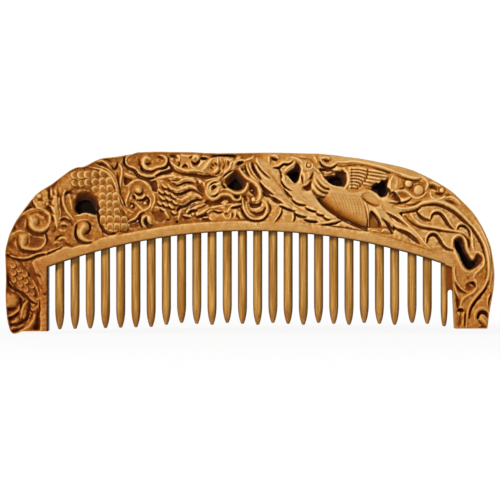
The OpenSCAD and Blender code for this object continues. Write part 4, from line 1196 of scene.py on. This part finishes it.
def buildBoard():
    wood, clear = edgeFields(handEased(outlineOf(cadNodes["back"])))
    height = blurred(modelledHeight(), board["blur"])
    k = photoView["mmPerPixel"]
    within = smooth(np.maximum(wood, 0.0) * k / board["edgeFade"])  # cuts run out before the outer edge
    height = within * height + (1.0 - within) * np.maximum(height, -board["edgeRound"])
    across, down = gridPoints()
    left, right = board["archEnds"]
    overTeeth = (across > left) & (across < right) & (down > archRow(across) - board["archBand"])
    rounding = np.where(overTeeth, board["archRound"], board["edgeRound"])
    shaped = np.minimum(height, -roundedEdge(np.maximum(wood, 0.0) * k, rounding))
    places, faces, rims = boardSurface(wood, clear, shaped)
    print("board marched,", len(places), "points a side")
    flat = toComb(places[:, :2])
    edge = np.zeros(len(places), bool)
    edge[[i for pair in rims for i in pair]] = True
    atOutline = edge & (sampled(wood, places) < board["outlineNear"])
    rise = places[:, 2].copy()
    rise[atOutline] = np.minimum(rise[atOutline], -sampled(rounding, places)[atOutline])
    half = board["halfThickness"] + rise
    front = np.stack([flat[:, 0], -half, flat[:, 1]], -1)
    rear = np.stack([flat[:, 0], half, flat[:, 1]], -1)
    count = len(places)
    allFaces = faces + [[i + count for i in reversed(f)] for f in faces]
    allFaces += [[b, a, a + count, b + count] for a, b in rims]
    mesh = bpy.data.meshes.new("carvedBack")
    mesh.from_pydata(np.vstack([front, rear]) * mm, [], allFaces)
    dense = newObject("carvedBack", mesh)
    thin = thinned(dense, board["triangles"])
    bpy.data.objects.remove(dense)
    bpy.data.meshes.remove(mesh)
    thin.name = "carvedBack"
    made = newObject("carvedBack", thin)
    co = np.empty(len(thin.vertices) * 3)
    thin.vertices.foreach_get("co", co)
    co = co.reshape(-1, 3) / mm
    spots = toPhoto(co[:, [0, 2]])
    onEdge = sampled(wood, spots) * k < board["edgeStrip"]
    # crests are painted pale, as wear and as painted highlight; concave ground is darkened, as wax and as
    # painted shade
    lifted = (height - blurred(height, board["ridgeBlur"])) / board["ridgeRange"]
    dipped = (blurred(height, board["hollowBlur"]) - height) / board["hollowRange"]
    fields = {"carveDepth": (np.clip(-height / board["depthRange"], 0, 1), board["edgeDepth"]),
              "ridgeWearAndHighlight": (np.clip(lifted, -1, 1), 0.0),
              "nearOpening": (1.0 - smooth((clear - board["openingRim"]) / board["openingFade"]), 0.0),
              "hollow": (np.clip(dipped, -1, 1), 0.0)}
    for name, (field, plain) in fields.items():
        setAttribute(thin, name, np.where(onEdge, plain, sampled(field, spots)))
    thin.polygons.foreach_set("use_smooth", [True] * len(thin.polygons))
    thin.set_sharp_from_angle(angle=math.radians(board["sharpAngle"]))
    print("board thinned to", len(thin.polygons), "triangles")
    return made


# wood left between the last tooth and the foot; its rings are shares of the outline and of the half thickness
slotWeb = {"outline": [(446, 261.5), (449, 263), (454, 266), (454.2, 289.5), (453, 291.3), (450.6, 289.8),
                       (448.6, 290), (447.4, 292), (446, 292.5)],
           "rings": [(0.97, -1.0), (1.0, -0.8), (1.0, 0.8), (0.97, 1.0)], "half": 1.7, "depth": 0.72}


def buildSlotWeb(web):
    # the saw stopped short here
    outline = np.array(web["outline"])
    middle = outline.mean(0)
    rings = []
    for size, y in web["rings"]:
        points = toComb(middle + (outline - middle) * size)
        rings.append([(x * mm, y * web["half"] * mm, z * mm) for x, z in points])
    mesh = loftedMesh("slotWeb", rings)
    # painted shade: the set-back web takes a deep tint
    setAttribute(mesh, "carveDepth", [web["depth"]] * len(mesh.vertices))
    return newObject("slotWeb", mesh)


# one dragon scale, in millimetres: a squarish shield, hollowed by a gouge, with a rim round its free end;
# its rings are shares of its size, with their lift over the slope and how far they are painted pale, as wear
# and as painted highlight
scaleShape = {"length": 4.0, "width": 2.75, "tipRise": 1.35, "rootSink": 0.6, "segments": 14,
              "endPower": 0.75, "sidePower": 0.6, "foot": -0.6, "footShade": 0.85,
              "rootShade": 0.72, "shadeFall": 0.58,
              "rings": [(1.0, None, 0.0), (1.0, -0.25, 0.1), (0.85, 0.0, 0.95), (0.5, -0.2, 0.1)]}
# scales stand on a lattice of photo pixels, within reach of the middle of the body, and point along it
scaleRows = {
    "coil": {"path": [(80.8, 179.6), (86, 178.2), (96, 180.2), (104, 188.5), (108.5, 201), (114.2, 213),
                      (114.6, 222), (114.6, 231)],
             "corner": (70, 175.2), "across": (6.8, 0.0), "down": (0.0, 7.6), "columns": 9, "rows": 8,
             "reach": 11.0, "startSize": 1.0, "endSize": 1.0, "facing": -1.0, "shallowest": 2.75},
    "tail": {"path": [(15.2, 262.6), (18.2, 272.6), (24.5, 284), (31, 294.5), (35.5, 304)],
             "corner": (13, 256.5), "across": (6.0, 4.5), "down": (-5.5, 3.0), "columns": 9, "rows": 7,
             "reach": 10.1, "startSize": 0.8, "endSize": 0.56, "facing": 1.0, "shallowest": 2.2},
}
# how a scale lands: from how far out it drops and how far it may fall, in millimetres, the steepest wood that
# it holds on to, its lean to the wood's own slope, and the spread of sizes
scaleFall = {"dropFrom": 20.0, "dropLength": 30.0, "steepest": 0.75, "lean": 1.4, "smallest": 0.9,
             "largest": 1.08}


def buildScale(shape):
    # sunk at its root and standing up at its tip
    rings, sunk, wearAndHighlight = [], [], []
    for inset, lift, wearAndHighlightShare in shape["rings"]:
        rings.append([])
        for i in range(shape["segments"]):
            a = 2 * math.pi * i / shape["segments"]
            c, s = math.cos(a), math.sin(a)
            x = 0.5 * shape["length"] * inset * math.copysign(abs(c)**shape["endPower"], c)
            y = 0.5 * shape["width"] * inset * math.copysign(abs(s)**shape["sidePower"], s)
            share = x / shape["length"] + 0.5
            tilt = (shape["tipRise"] + shape["rootSink"]) * share - shape["rootSink"]
            z = shape["foot"] if lift is None else lift * share + tilt
            rings[-1].append((x * mm, y * mm, z * mm))
            # painted shade: the root and the foot take a deeper tint than the tip, so the gaps between scales
            # read dark
            depth = shape["rootShade"] - shape["shadeFall"] * share
            sunk.append(shape["footShade"] if lift is None else depth)
            wearAndHighlight.append(wearAndHighlightShare * share)
    mesh = loftedMesh("dragonScale", rings)
    setAttribute(mesh, "carveDepth", sunk)
    setAttribute(mesh, "ridgeWearAndHighlight", wearAndHighlight)
    return newObject("dragonScale", mesh)


def scaleTree(material):
    # points on a lattice near a curve, dropped on to the board from one side, each turned along the curve
    tree = bpy.data.node_groups.new("scaleRows", "GeometryNodeTree")
    ports = tree.interface
    ports.new_socket("Geometry", in_out="OUTPUT", socket_type="NodeSocketGeometry")
    ports.new_socket("Geometry", in_out="INPUT", socket_type="NodeSocketGeometry")
    for name, kind in (("Board", "Object"), ("Scale", "Object"), ("Columns", "Int"), ("Rows", "Int"),
                       ("Corner", "Vector"), ("Across", "Vector"), ("Down", "Vector"), ("Reach", "Float"),
                       ("Start Size", "Float"), ("End Size", "Float"), ("Facing", "Float"), ("Side", "Float"),
                       ("Shallowest", "Float"), ("Seed", "Int")):
        ports.new_socket(name, in_out="INPUT", socket_type="NodeSocket" + kind)
    given = add(tree, "NodeGroupInput").outputs
    sample = "GeometryNodeSampleIndex"
    count = add(tree, mathNode, {0: given["Rows"], 1: given["Columns"]}, operation="MULTIPLY")
    points = add(tree, "GeometryNodePoints", {"Count": count})
    index = add(tree, "GeometryNodeInputIndex")
    turn = add(tree, mathNode, {0: index, 1: given["Columns"]}, operation="DIVIDE")
    row = add(tree, mathNode, {0: turn}, operation="FLOOR")
    column = add(tree, mathNode, {0: index, 1: given["Columns"]}, operation="FLOORED_MODULO")
    sideways = add(tree, vectorNode, {0: given["Across"], "Scale": column}, operation="SCALE")
    downward = add(tree, vectorNode, {0: given["Down"], "Scale": row}, operation="SCALE")
    placed = add(tree, vectorNode, {0: sideways, 1: downward}, operation="ADD")
    spot = add(tree, vectorNode, {0: placed, 1: given["Corner"]}, operation="ADD")
    route = add(tree, "GeometryNodeCurveToPoints", {"Curve": given["Geometry"]}, mode="EVALUATED").outputs
    track = route["Points"]
    nearest = add(tree, "GeometryNodeSampleNearest", {"Geometry": track, "Sample Position": spot})
    position = add(tree, "GeometryNodeInputPosition")
    middle, tangent = [add(tree, sample, {"Geometry": track, "Value": value, "Index": nearest},
                           data_type="FLOAT_VECTOR") for value in (position, route["Tangent"])]
    last = add(tree, "GeometryNodeAttributeDomainSize", {"Geometry": track}, component="POINTCLOUD")
    size = add(tree, rangeNode, {0: nearest, 1: 0.0, 2: last, 3: given["Start Size"],
                                 4: given["End Size"]})
    away = add(tree, vectorNode, {0: spot, 1: middle}, operation="DISTANCE").outputs["Value"]
    limit = add(tree, mathNode, {0: given["Reach"], 1: size}, operation="MULTIPLY")
    near = add(tree, mathNode, {0: away, 1: limit}, operation="LESS_THAN")
    outward = add(tree, "ShaderNodeCombineXYZ", {"Y": given["Side"]})
    start = add(tree, vectorNode, {0: outward, 1: [scaleFall["dropFrom"] * mm] * 3, 2: spot},
                operation="MULTIPLY_ADD")
    inward = add(tree, vectorNode, {0: outward, "Scale": -1.0}, operation="SCALE")
    target = add(tree, "GeometryNodeObjectInfo", {"Object": given["Board"]}).outputs["Geometry"]
    ray = add(tree, "GeometryNodeRaycast", {"Target Geometry": target, "Source Position": start,
                                            "Ray Direction": inward,
                                            "Ray Length": scaleFall["dropLength"] * mm}).outputs
    hit, normal = ray["Hit Position"], ray["Hit Normal"]
    facing = add(tree, vectorNode, {0: normal, 1: outward}, operation="DOT_PRODUCT").outputs["Value"]
    flat = add(tree, mathNode, {0: facing, 1: scaleFall["steepest"]}, operation="GREATER_THAN")
    depth = add(tree, vectorNode, {0: hit, 1: outward}, operation="DOT_PRODUCT").outputs["Value"]
    high = add(tree, mathNode, {0: depth, 1: given["Shallowest"]}, operation="GREATER_THAN")
    level = add(tree, mathNode, {0: flat, 1: high}, operation="MULTIPLY")
    keep = add(tree, mathNode, {0: level, 1: near}, operation="MULTIPLY")
    landed = add(tree, "GeometryNodeSetPosition", {"Geometry": points, "Position": hit})
    lean = add(tree, vectorNode, {0: normal, 1: [scaleFall["lean"]] * 3, 2: outward},
               operation="MULTIPLY_ADD")
    upright = add(tree, "FunctionNodeAlignRotationToVector", {"Vector": lean}, axis="Z")
    ahead = add(tree, vectorNode, {0: tangent, "Scale": given["Facing"]}, operation="SCALE")
    turned = add(tree, "FunctionNodeAlignRotationToVector", {"Rotation": upright, "Vector": ahead},
                 axis="X", pivot_axis="Z")
    vary = add(tree, "FunctionNodeRandomValue", {2: scaleFall["smallest"], 3: scaleFall["largest"],
                                                 "Seed": given["Seed"]}, data_type="FLOAT")
    scale = add(tree, mathNode, {0: size, 1: vary.outputs[1]}, operation="MULTIPLY")
    one = add(tree, "GeometryNodeObjectInfo", {"Object": given["Scale"]}).outputs["Geometry"]
    rows = add(tree, "GeometryNodeInstanceOnPoints", {"Points": landed, "Selection": keep, "Instance": one,
                                                      "Rotation": turned, "Scale": scale})
    whole = add(tree, "GeometryNodeRealizeInstances", {"Geometry": rows})
    finish = add(tree, "GeometryNodeSetMaterial", {"Geometry": whole, "Material": material})
    add(tree, "NodeGroupOutput", {"Geometry": finish})
    return tree


def pathCurve(name, points):
    curve = bpy.data.curves.new(name, "CURVE")
    curve.dimensions = "3D"
    route = toComb(pathThrough(points)) * mm
    spline = curve.splines.new("POLY")
    spline.points.add(len(route) - 1)
    for point, (x, z) in zip(spline.points, route):
        point.co = (x, 0.0, z, 1.0)
    return newObject(name, curve)


def buildScales(boardPiece, material):
    one = buildScale(scaleShape)
    tree = scaleTree(material)
    socketOf = {item.name: item.identifier for item in tree.interface.items_tree if item.in_out == "INPUT"}
    pieces = []
    for name, rows in scaleRows.items():
        for sideName, side in (("Front", -1.0), ("Rear", 1.0)):
            carrier = pathCurve(name + sideName, rows["path"])
            grow = carrier.modifiers.new("scaleRows", "NODES")
            grow.node_group = tree
            x, z = toComb(rows["corner"]) * mm
            step = photoView["mmPerPixel"] * mm
            across, down = [(dx * step, 0.0, -dy * step) for dx, dy in (rows["across"], rows["down"])]
            for socket, value in (("Board", boardPiece), ("Scale", one), ("Columns", rows["columns"]),
                                  ("Rows", rows["rows"]), ("Corner", (x, 0.0, z)), ("Across", across),
                                  ("Down", down), ("Reach", rows["reach"] * step),
                                  ("Start Size", rows["startSize"]), ("End Size", rows["endSize"]),
                                  ("Facing", rows["facing"]), ("Side", side),
                                  ("Shallowest", rows["shallowest"] * mm), ("Seed", len(pieces))):
                grow[socketOf[socket]] = value
            carrier.update_tag()
            evaluated = carrier.evaluated_get(bpy.context.evaluated_depsgraph_get())
            mesh = bpy.data.meshes.new_from_object(evaluated)
            carrier.modifiers.remove(grow)
            bpy.data.objects.remove(carrier)
            mesh.polygons.foreach_set("use_smooth", [True] * len(mesh.polygons))
            pieces.append(newObject(name + "Scales" + sideName, mesh))
            print(pieces[-1].name, len(mesh.polygons), "faces")
    bpy.data.objects.remove(one)
    return pieces


# waxed boxwood, cut with gouges: dense fine-grained golden tan; ridges are painted pale, as wear and as
# painted highlight,
# and hollows dark, as wax and as painted shade; stops are carved depths, a range runs from where a tint
# starts to where it is full, and tones spread from a place:
# darker over the left end, darker still at its foot, and darker at the right foot; the deep tint round the
# openings and the dark tint under the arch are painted shade; sizes in millimetres
carvedWoodLook = {
    "face": "#d3a461", "slope": "#c07f2f", "hollow": "#985511", "floor": "#673105", "ridge": "#fad08a",
    "streak": "#a8712f", "openingShade": "#2a0f04", "underside": "#2e1405", "undersideHeights": (0.1, 0.75),
    "stops": {"face": 0.12, "slope": 0.37, "hollow": 0.60, "floor": 0.86},
    "grainWidth": 0.35, "grainLength": 9.0, "hollowWaxAndShade": 0.25, "cloudSize": 14.0, "cloudStain": 0.24,
    "mottleSize": 2.2, "mottleStain": 0.32, "noiseDetail": 2.0,
    "streakRange": (0.42, 0.7), "streakShare": 0.35, "ridgeRange": (0.12, 0.75), "ridgeShare": 0.8,
    "openingShadeRange": (0.55, 0.95), "toneStart": 6.0,
    "tones": [((-84.0, 0.0, 10.0), 115.0, "#eee2cc"), ((-84.0, 0.0, 10.0), 34.0, "#ebd2b0"),
              ((80.0, 0.0, 4.0), 34.0, "#e8d0a8")],
    "roughness": 0.5, "hollowRoughness": 0.7, "roughFull": 0.8, "ior": 1.5, "gloss": 0.12, "bump": 0.25,
    "bumpDepth": 0.12,
}
# the same wood split and whittled thin: grain runs down the tooth, the sides are painted darker as shade, the
# foot keeps a darker wax, and where the tooth enters the board a dark line is painted, a glue joint and
# painted shade under the band;
# each tint has its start and its end, and its share at both
toothWoodLook = {
    "face": "#b67c30", "pale": "#e6b05a", "streak": "#683a0c", "side": "#522c06", "tip": "#8c5620",
    "jointAndShade": "#3a1c08", "paleRange": (0.42, 0.62, 0.0, 0.85), "streakRange": (0.4, 0.72, 0.0, 0.75),
    "sideRange": (0.4, 1.0, 0.0, 0.9), "tipRange": (2.0 * mm, 11.0 * mm, 0.75, 0.0),
    "jointAndShadeRange": ((archCurve["radius"] - 0.5) * mm, archCurve["radius"] * mm, 0.0, 0.75),
    "grainWidth": 0.3, "grainLength": 14.0, "broadWidth": 5.0, "broadLength": 2.0,
    "roughness": 0.5, "ior": 1.5, "gloss": 0.15, "bump": 0.3, "bumpDepth": 0.1,
}
# the noise of the fibres in both woods
fibres = {"detail": 3.0, "roughness": 0.6}


def newMaterial(name):
    material = bpy.data.materials.new(name)
    material.use_nodes = True
    material.node_tree.nodes.clear()
    return material, material.node_tree


def grainNoise(tree, width, length, along):
    # wood fibres: noise stretched along the grain, sized from the fibre bundle's width in millimetres
    place = add(tree, "ShaderNodeTexCoord").outputs["Object"]
    scale = [1.0 / (width * mm)] * 3
    scale[along] = 1.0 / (length * mm)
    stretched = add(tree, "ShaderNodeMapping", {"Vector": place, "Scale": scale})
    return add(tree, "ShaderNodeTexNoise", {"Vector": stretched, "Scale": 1.0, "Detail": fibres["detail"],
                                            "Roughness": fibres["roughness"]}).outputs["Fac"]


def archReach(tree):
    # distance from the middle of the arch over the teeth, seen from the front
    place = add(tree, "ShaderNodeTexCoord").outputs["Object"]
    flat = add(tree, vectorNode, {0: place, 1: (1.0, 0.0, 1.0)}, operation="MULTIPLY")
    centre = (archCurve["middle"] * mm, 0.0, archCurve["centre"] * mm)
    return add(tree, vectorNode, {0: flat, 1: centre}, operation="DISTANCE").outputs["Value"]


def archEdge(tree, heights):
    # one at the sawn underside of the arch between its two ends, none above it
    place = add(tree, "ShaderNodeTexCoord").outputs["Object"]
    across = add(tree, "ShaderNodeSeparateXYZ", {0: place}).outputs["X"]
    between = add(tree, mathNode, {0: across, 1: archCurve["openMiddle"] * mm,
                                   2: archCurve["openHalf"] * mm}, operation="COMPARE")
    first, last = [(archCurve["radius"] + height) * mm for height in heights]
    low = add(tree, rangeNode, {0: archReach(tree), 1: first, 2: last, 3: 1.0, 4: 0.0})
    return add(tree, mathNode, {0: between, 1: low}, operation="MULTIPLY")


def finishWood(tree, look, colour, roughness, grain):
    bump = add(tree, "ShaderNodeBump", {"Height": grain, "Strength": look["bump"],
                                        "Distance": look["bumpDepth"] * mm})
    shader = add(tree, "ShaderNodeBsdfPrincipled", {"Base Color": colour, "Roughness": roughness,
                                                    "Specular IOR Level": look["gloss"],
                                                    "IOR": look["ior"], "Normal": bump})
    add(tree, "ShaderNodeOutputMaterial", {"Surface": shader})


def buildCarvedWood(look):
    material, tree = newMaterial("waxedBoxwoodCarved")
    depth, ridge, hollow, inner = [add(tree, "ShaderNodeAttribute", attribute_name=name).outputs["Fac"]
                                   for name in ("carveDepth", "ridgeWearAndHighlight", "hollow", "nearOpening")]
    place = add(tree, "ShaderNodeTexCoord").outputs["Object"]
    grain = grainNoise(tree, look["grainWidth"], look["grainLength"], 0)
    # the ramp darkens with carved depth and hollowness, unevenly: wax in the hollows and painted shade
    waxAndShade = add(tree, mathNode, {0: hollow, 1: look["hollowWaxAndShade"], 2: depth}, operation="MULTIPLY_ADD")
    for kind in ("cloud", "mottle"):
        noise = add(tree, "ShaderNodeTexNoise", {"Vector": place, "Scale": 1.0 / (look[kind + "Size"] * mm),
                                                 "Detail": look["noiseDetail"]}).outputs["Fac"]
        amount = look[kind + "Stain"]
        uneven = add(tree, mathNode, {0: noise, 1: amount, 2: -0.5 * amount}, operation="MULTIPLY_ADD")
        waxAndShade = add(tree, mathNode, {0: waxAndShade, 1: uneven}, operation="ADD")
    waxAndShade = add(tree, "ShaderNodeClamp", {0: waxAndShade})
    ramp = add(tree, "ShaderNodeValToRGB", {"Fac": waxAndShade})
    while len(ramp.color_ramp.elements) < len(look["stops"]):
        ramp.color_ramp.elements.new(0.5)
    for element, (name, stop) in zip(ramp.color_ramp.elements, look["stops"].items()):
        element.position = stop
        element.color = linear(look[name])
    shares = {}
    for name, value in (("streak", grain), ("ridge", ridge), ("openingShade", depth)):
        first, last = look[name + "Range"]
        shares[name] = add(tree, rangeNode, {0: value, 1: first, 2: last, 3: 0.0,
                                             4: look.get(name + "Share", 1.0)})
    # painted shade: deep wood round the openings is darkened towards black
    shadedOpening = add(tree, mathNode, {0: shares["openingShade"], 1: inner}, operation="MULTIPLY")
    tints = [(shares["streak"], look["streak"], "MULTIPLY"), (shares["ridge"], look["ridge"], "MIX"),
             (shadedOpening, look["openingShade"], "MIX")]
    for corner, reach, tone in look["tones"]:
        away = add(tree, vectorNode, {0: place, 1: [v * mm for v in corner]}, operation="DISTANCE")
        share = add(tree, rangeNode, {0: away.outputs["Value"], 1: look["toneStart"] * mm, 2: reach * mm,
                                      3: 1.0, 4: 0.0}, interpolation_type="SMOOTHSTEP")
        tints.append((share, tone, "MULTIPLY"))
    # painted shade: a dark tint along the sawn underside of the arch over the teeth
    tints.append((archEdge(tree, look["undersideHeights"]), look["underside"], "MIX"))
    colour = ramp.outputs["Color"]
    for share, tint, blend in tints:
        colour = add(tree, "ShaderNodeMix", {0: share, 6: colour, 7: linear(tint)}, data_type="RGBA",
                     blend_type=blend).outputs[2]
    rough = add(tree, rangeNode, {0: waxAndShade, 1: 0.0, 2: look["roughFull"], 3: look["roughness"],
                                  4: look["hollowRoughness"]})
    finishWood(tree, look, colour, rough, grain)
    return material


def buildToothWood(look):
    material, tree = newMaterial("waxedBoxwoodWhittled")
    width, length = look["grainWidth"], look["grainLength"]
    broad = grainNoise(tree, width * look["broadWidth"], length * look["broadLength"], 2)
    grain = grainNoise(tree, width, length, 2)
    spot = add(tree, "ShaderNodeTexCoord").outputs
    facing = add(tree, "ShaderNodeSeparateXYZ", {0: spot["Normal"]}).outputs["X"]
    turned = add(tree, mathNode, {0: facing}, operation="ABSOLUTE")
    height = add(tree, "ShaderNodeSeparateXYZ", {0: spot["Object"]}).outputs["Z"]
    colour = linear(look["face"])
    # the side tint is painted shade on the teeth's flanks; the tint at the arch is a glue joint and painted
    # shade
    for tint, value in (("pale", broad), ("streak", grain), ("side", turned), ("tip", height),
                        ("jointAndShade", archReach(tree))):
        first, last, atFirst, atLast = look[tint + "Range"]
        share = add(tree, rangeNode, {0: value, 1: first, 2: last, 3: atFirst, 4: atLast})
        colour = add(tree, "ShaderNodeMix", {0: share, 6: colour, 7: linear(look[tint])},
                     data_type="RGBA").outputs[2]
    finishWood(tree, look, colour, look["roughness"], grain)
    return material


# a white studio, in metres and watts; lamps stand off from the middle of the comb
studio = {"floorColour": "#f7f6f4", "floorReach": 6.0, "shadowStart": 0.1, "shadowReach": 0.3,
          "nearWhite": 0.9, "ambient": 0.27, "shadeCardColour": "#1a130e",
          "keyPlace": (-1.38, -1.65, 1.05), "keyPower": 48.0, "keySize": 0.6,
          "fillPlace": (0.7, -0.8, 0.25), "fillPower": 0.3, "fillSize": 0.8}
cameraView = {"lens": 200.0, "sensor": 36.0, "frameWidth": 184.0, "middleColumn": 250.0, "middleRow": 250.0}


def whiteShare(tree):
    # one for rays that the camera, a mirror or glass sends, so that they meet a white surround
    path = add(tree, "ShaderNodeLightPath").outputs
    seen = add(tree, mathNode, {0: path["Is Camera Ray"], 1: path["Is Glossy Ray"]}, operation="MAXIMUM")
    return add(tree, mathNode, {0: seen, 1: path["Is Transmission Ray"]}, operation="MAXIMUM")


def buildStage():
    material, tree = newMaterial("paleFloor")
    matt = add(tree, "ShaderNodeBsdfDiffuse", {"Color": linear(studio["floorColour"])})
    place = add(tree, "ShaderNodeTexCoord").outputs["Object"]
    away = add(tree, vectorNode, {0: place}, operation="LENGTH").outputs["Value"]
    share = add(tree, rangeNode, {0: away, 1: studio["shadowStart"], 2: studio["shadowReach"],
                                  3: studio["nearWhite"], 4: 1.0})
    part = add(tree, mathNode, {0: whiteShare(tree), 1: share}, operation="MULTIPLY")
    white = add(tree, "ShaderNodeEmission", {"Color": (1, 1, 1, 1), "Strength": 1.0})
    mixed = add(tree, "ShaderNodeMixShader", {0: part, 1: matt, 2: white})
    add(tree, "ShaderNodeOutputMaterial", {"Surface": mixed})
    mesh = bpy.data.meshes.new("paleFloor")
    reach = studio["floorReach"]
    square = [(x * reach, y * reach, 0) for x, y in ((-1, -1), (1, -1), (1, 1), (-1, 1))]
    mesh.from_pydata(square, [], [(0, 1, 2, 3)])
    mesh.materials.append(material)
    newObject("paleFloor", mesh)
    # flat dark cards stand in the openings as painted shade, so that the openings read black
    dark, tree = newMaterial("shadeCard")
    matt = add(tree, "ShaderNodeBsdfDiffuse", {"Color": linear(studio["shadeCardColour"])})
    add(tree, "ShaderNodeOutputMaterial", {"Surface": matt})
    corners, shapes = [], []
    for points in openings.values():
        flat = toComb(pathThrough(points, closed=True)) * mm
        shapes.append(range(len(corners), len(corners) + len(flat)))
        corners += [(x, 0.0, z) for x, z in flat]
    mesh = bpy.data.meshes.new("darkCards")
    mesh.from_pydata(corners, [], shapes)
    mesh.materials.append(dark)
    newObject("darkCards", mesh)
    world = bpy.data.worlds.new("softSurround")
    scene.world = world
    world.use_nodes = True
    tree = world.node_tree
    tree.nodes.clear()
    soft = add(tree, "ShaderNodeBackground", {"Color": (1, 1, 1, 1), "Strength": studio["ambient"]})
    white = add(tree, "ShaderNodeBackground", {"Color": (1, 1, 1, 1), "Strength": 1.0})
    both = add(tree, "ShaderNodeMixShader", {0: whiteShare(tree), 1: soft, 2: white})
    add(tree, "ShaderNodeOutputWorld", {"Surface": both})


def buildLights():
    low, high = cadBox
    middle = (low + high) / 2
    for kind in ("key", "fill"):
        lamp = bpy.data.lights.new(kind + "Lamp", "AREA")
        lamp.size = studio[kind + "Size"]
        lamp.energy = studio[kind + "Power"]
        made = newObject(kind + "Lamp", lamp)
        made.location = middle + mathutils.Vector(studio[kind + "Place"])
        made.rotation_euler = (middle - made.location).to_track_quat("-Z", "Y").to_euler()


def buildCamera():
    data = bpy.data.cameras.new("photoCamera")
    data.lens = cameraView["lens"]
    data.sensor_width = cameraView["sensor"]
    distance = cameraView["frameWidth"] * cameraView["lens"] / cameraView["sensor"]
    x, z = toComb([cameraView["middleColumn"], cameraView["middleRow"]])
    made = newObject("photoCamera", data)
    made.location = (x * mm, -distance * mm, z * mm)
    made.rotation_euler = (math.pi / 2, 0.0, 0.0)
    scene.camera = made


scene.view_settings.view_transform = "Standard"
carveAll()
print("relief carved")
carvedWood = buildCarvedWood(carvedWoodLook)
toothWood = buildToothWood(toothWoodLook)
boardPiece = buildBoard()
boardPiece.data.materials.append(carvedWood)
scalePieces = buildScales(boardPiece, carvedWood)
webPiece = buildSlotWeb(slotWeb)
webPiece.data.materials.append(carvedWood)
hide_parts("back")
for piece in [boardPiece, webPiece] + scalePieces:
    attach(piece, "root")
for name, node in cadNodes.items():
    if name.startswith("tooth"):
        node.data.materials.clear()
        node.data.materials.append(toothWood)
buildStage()
buildLights()
buildCamera()
print("stage, lamps and camera set")
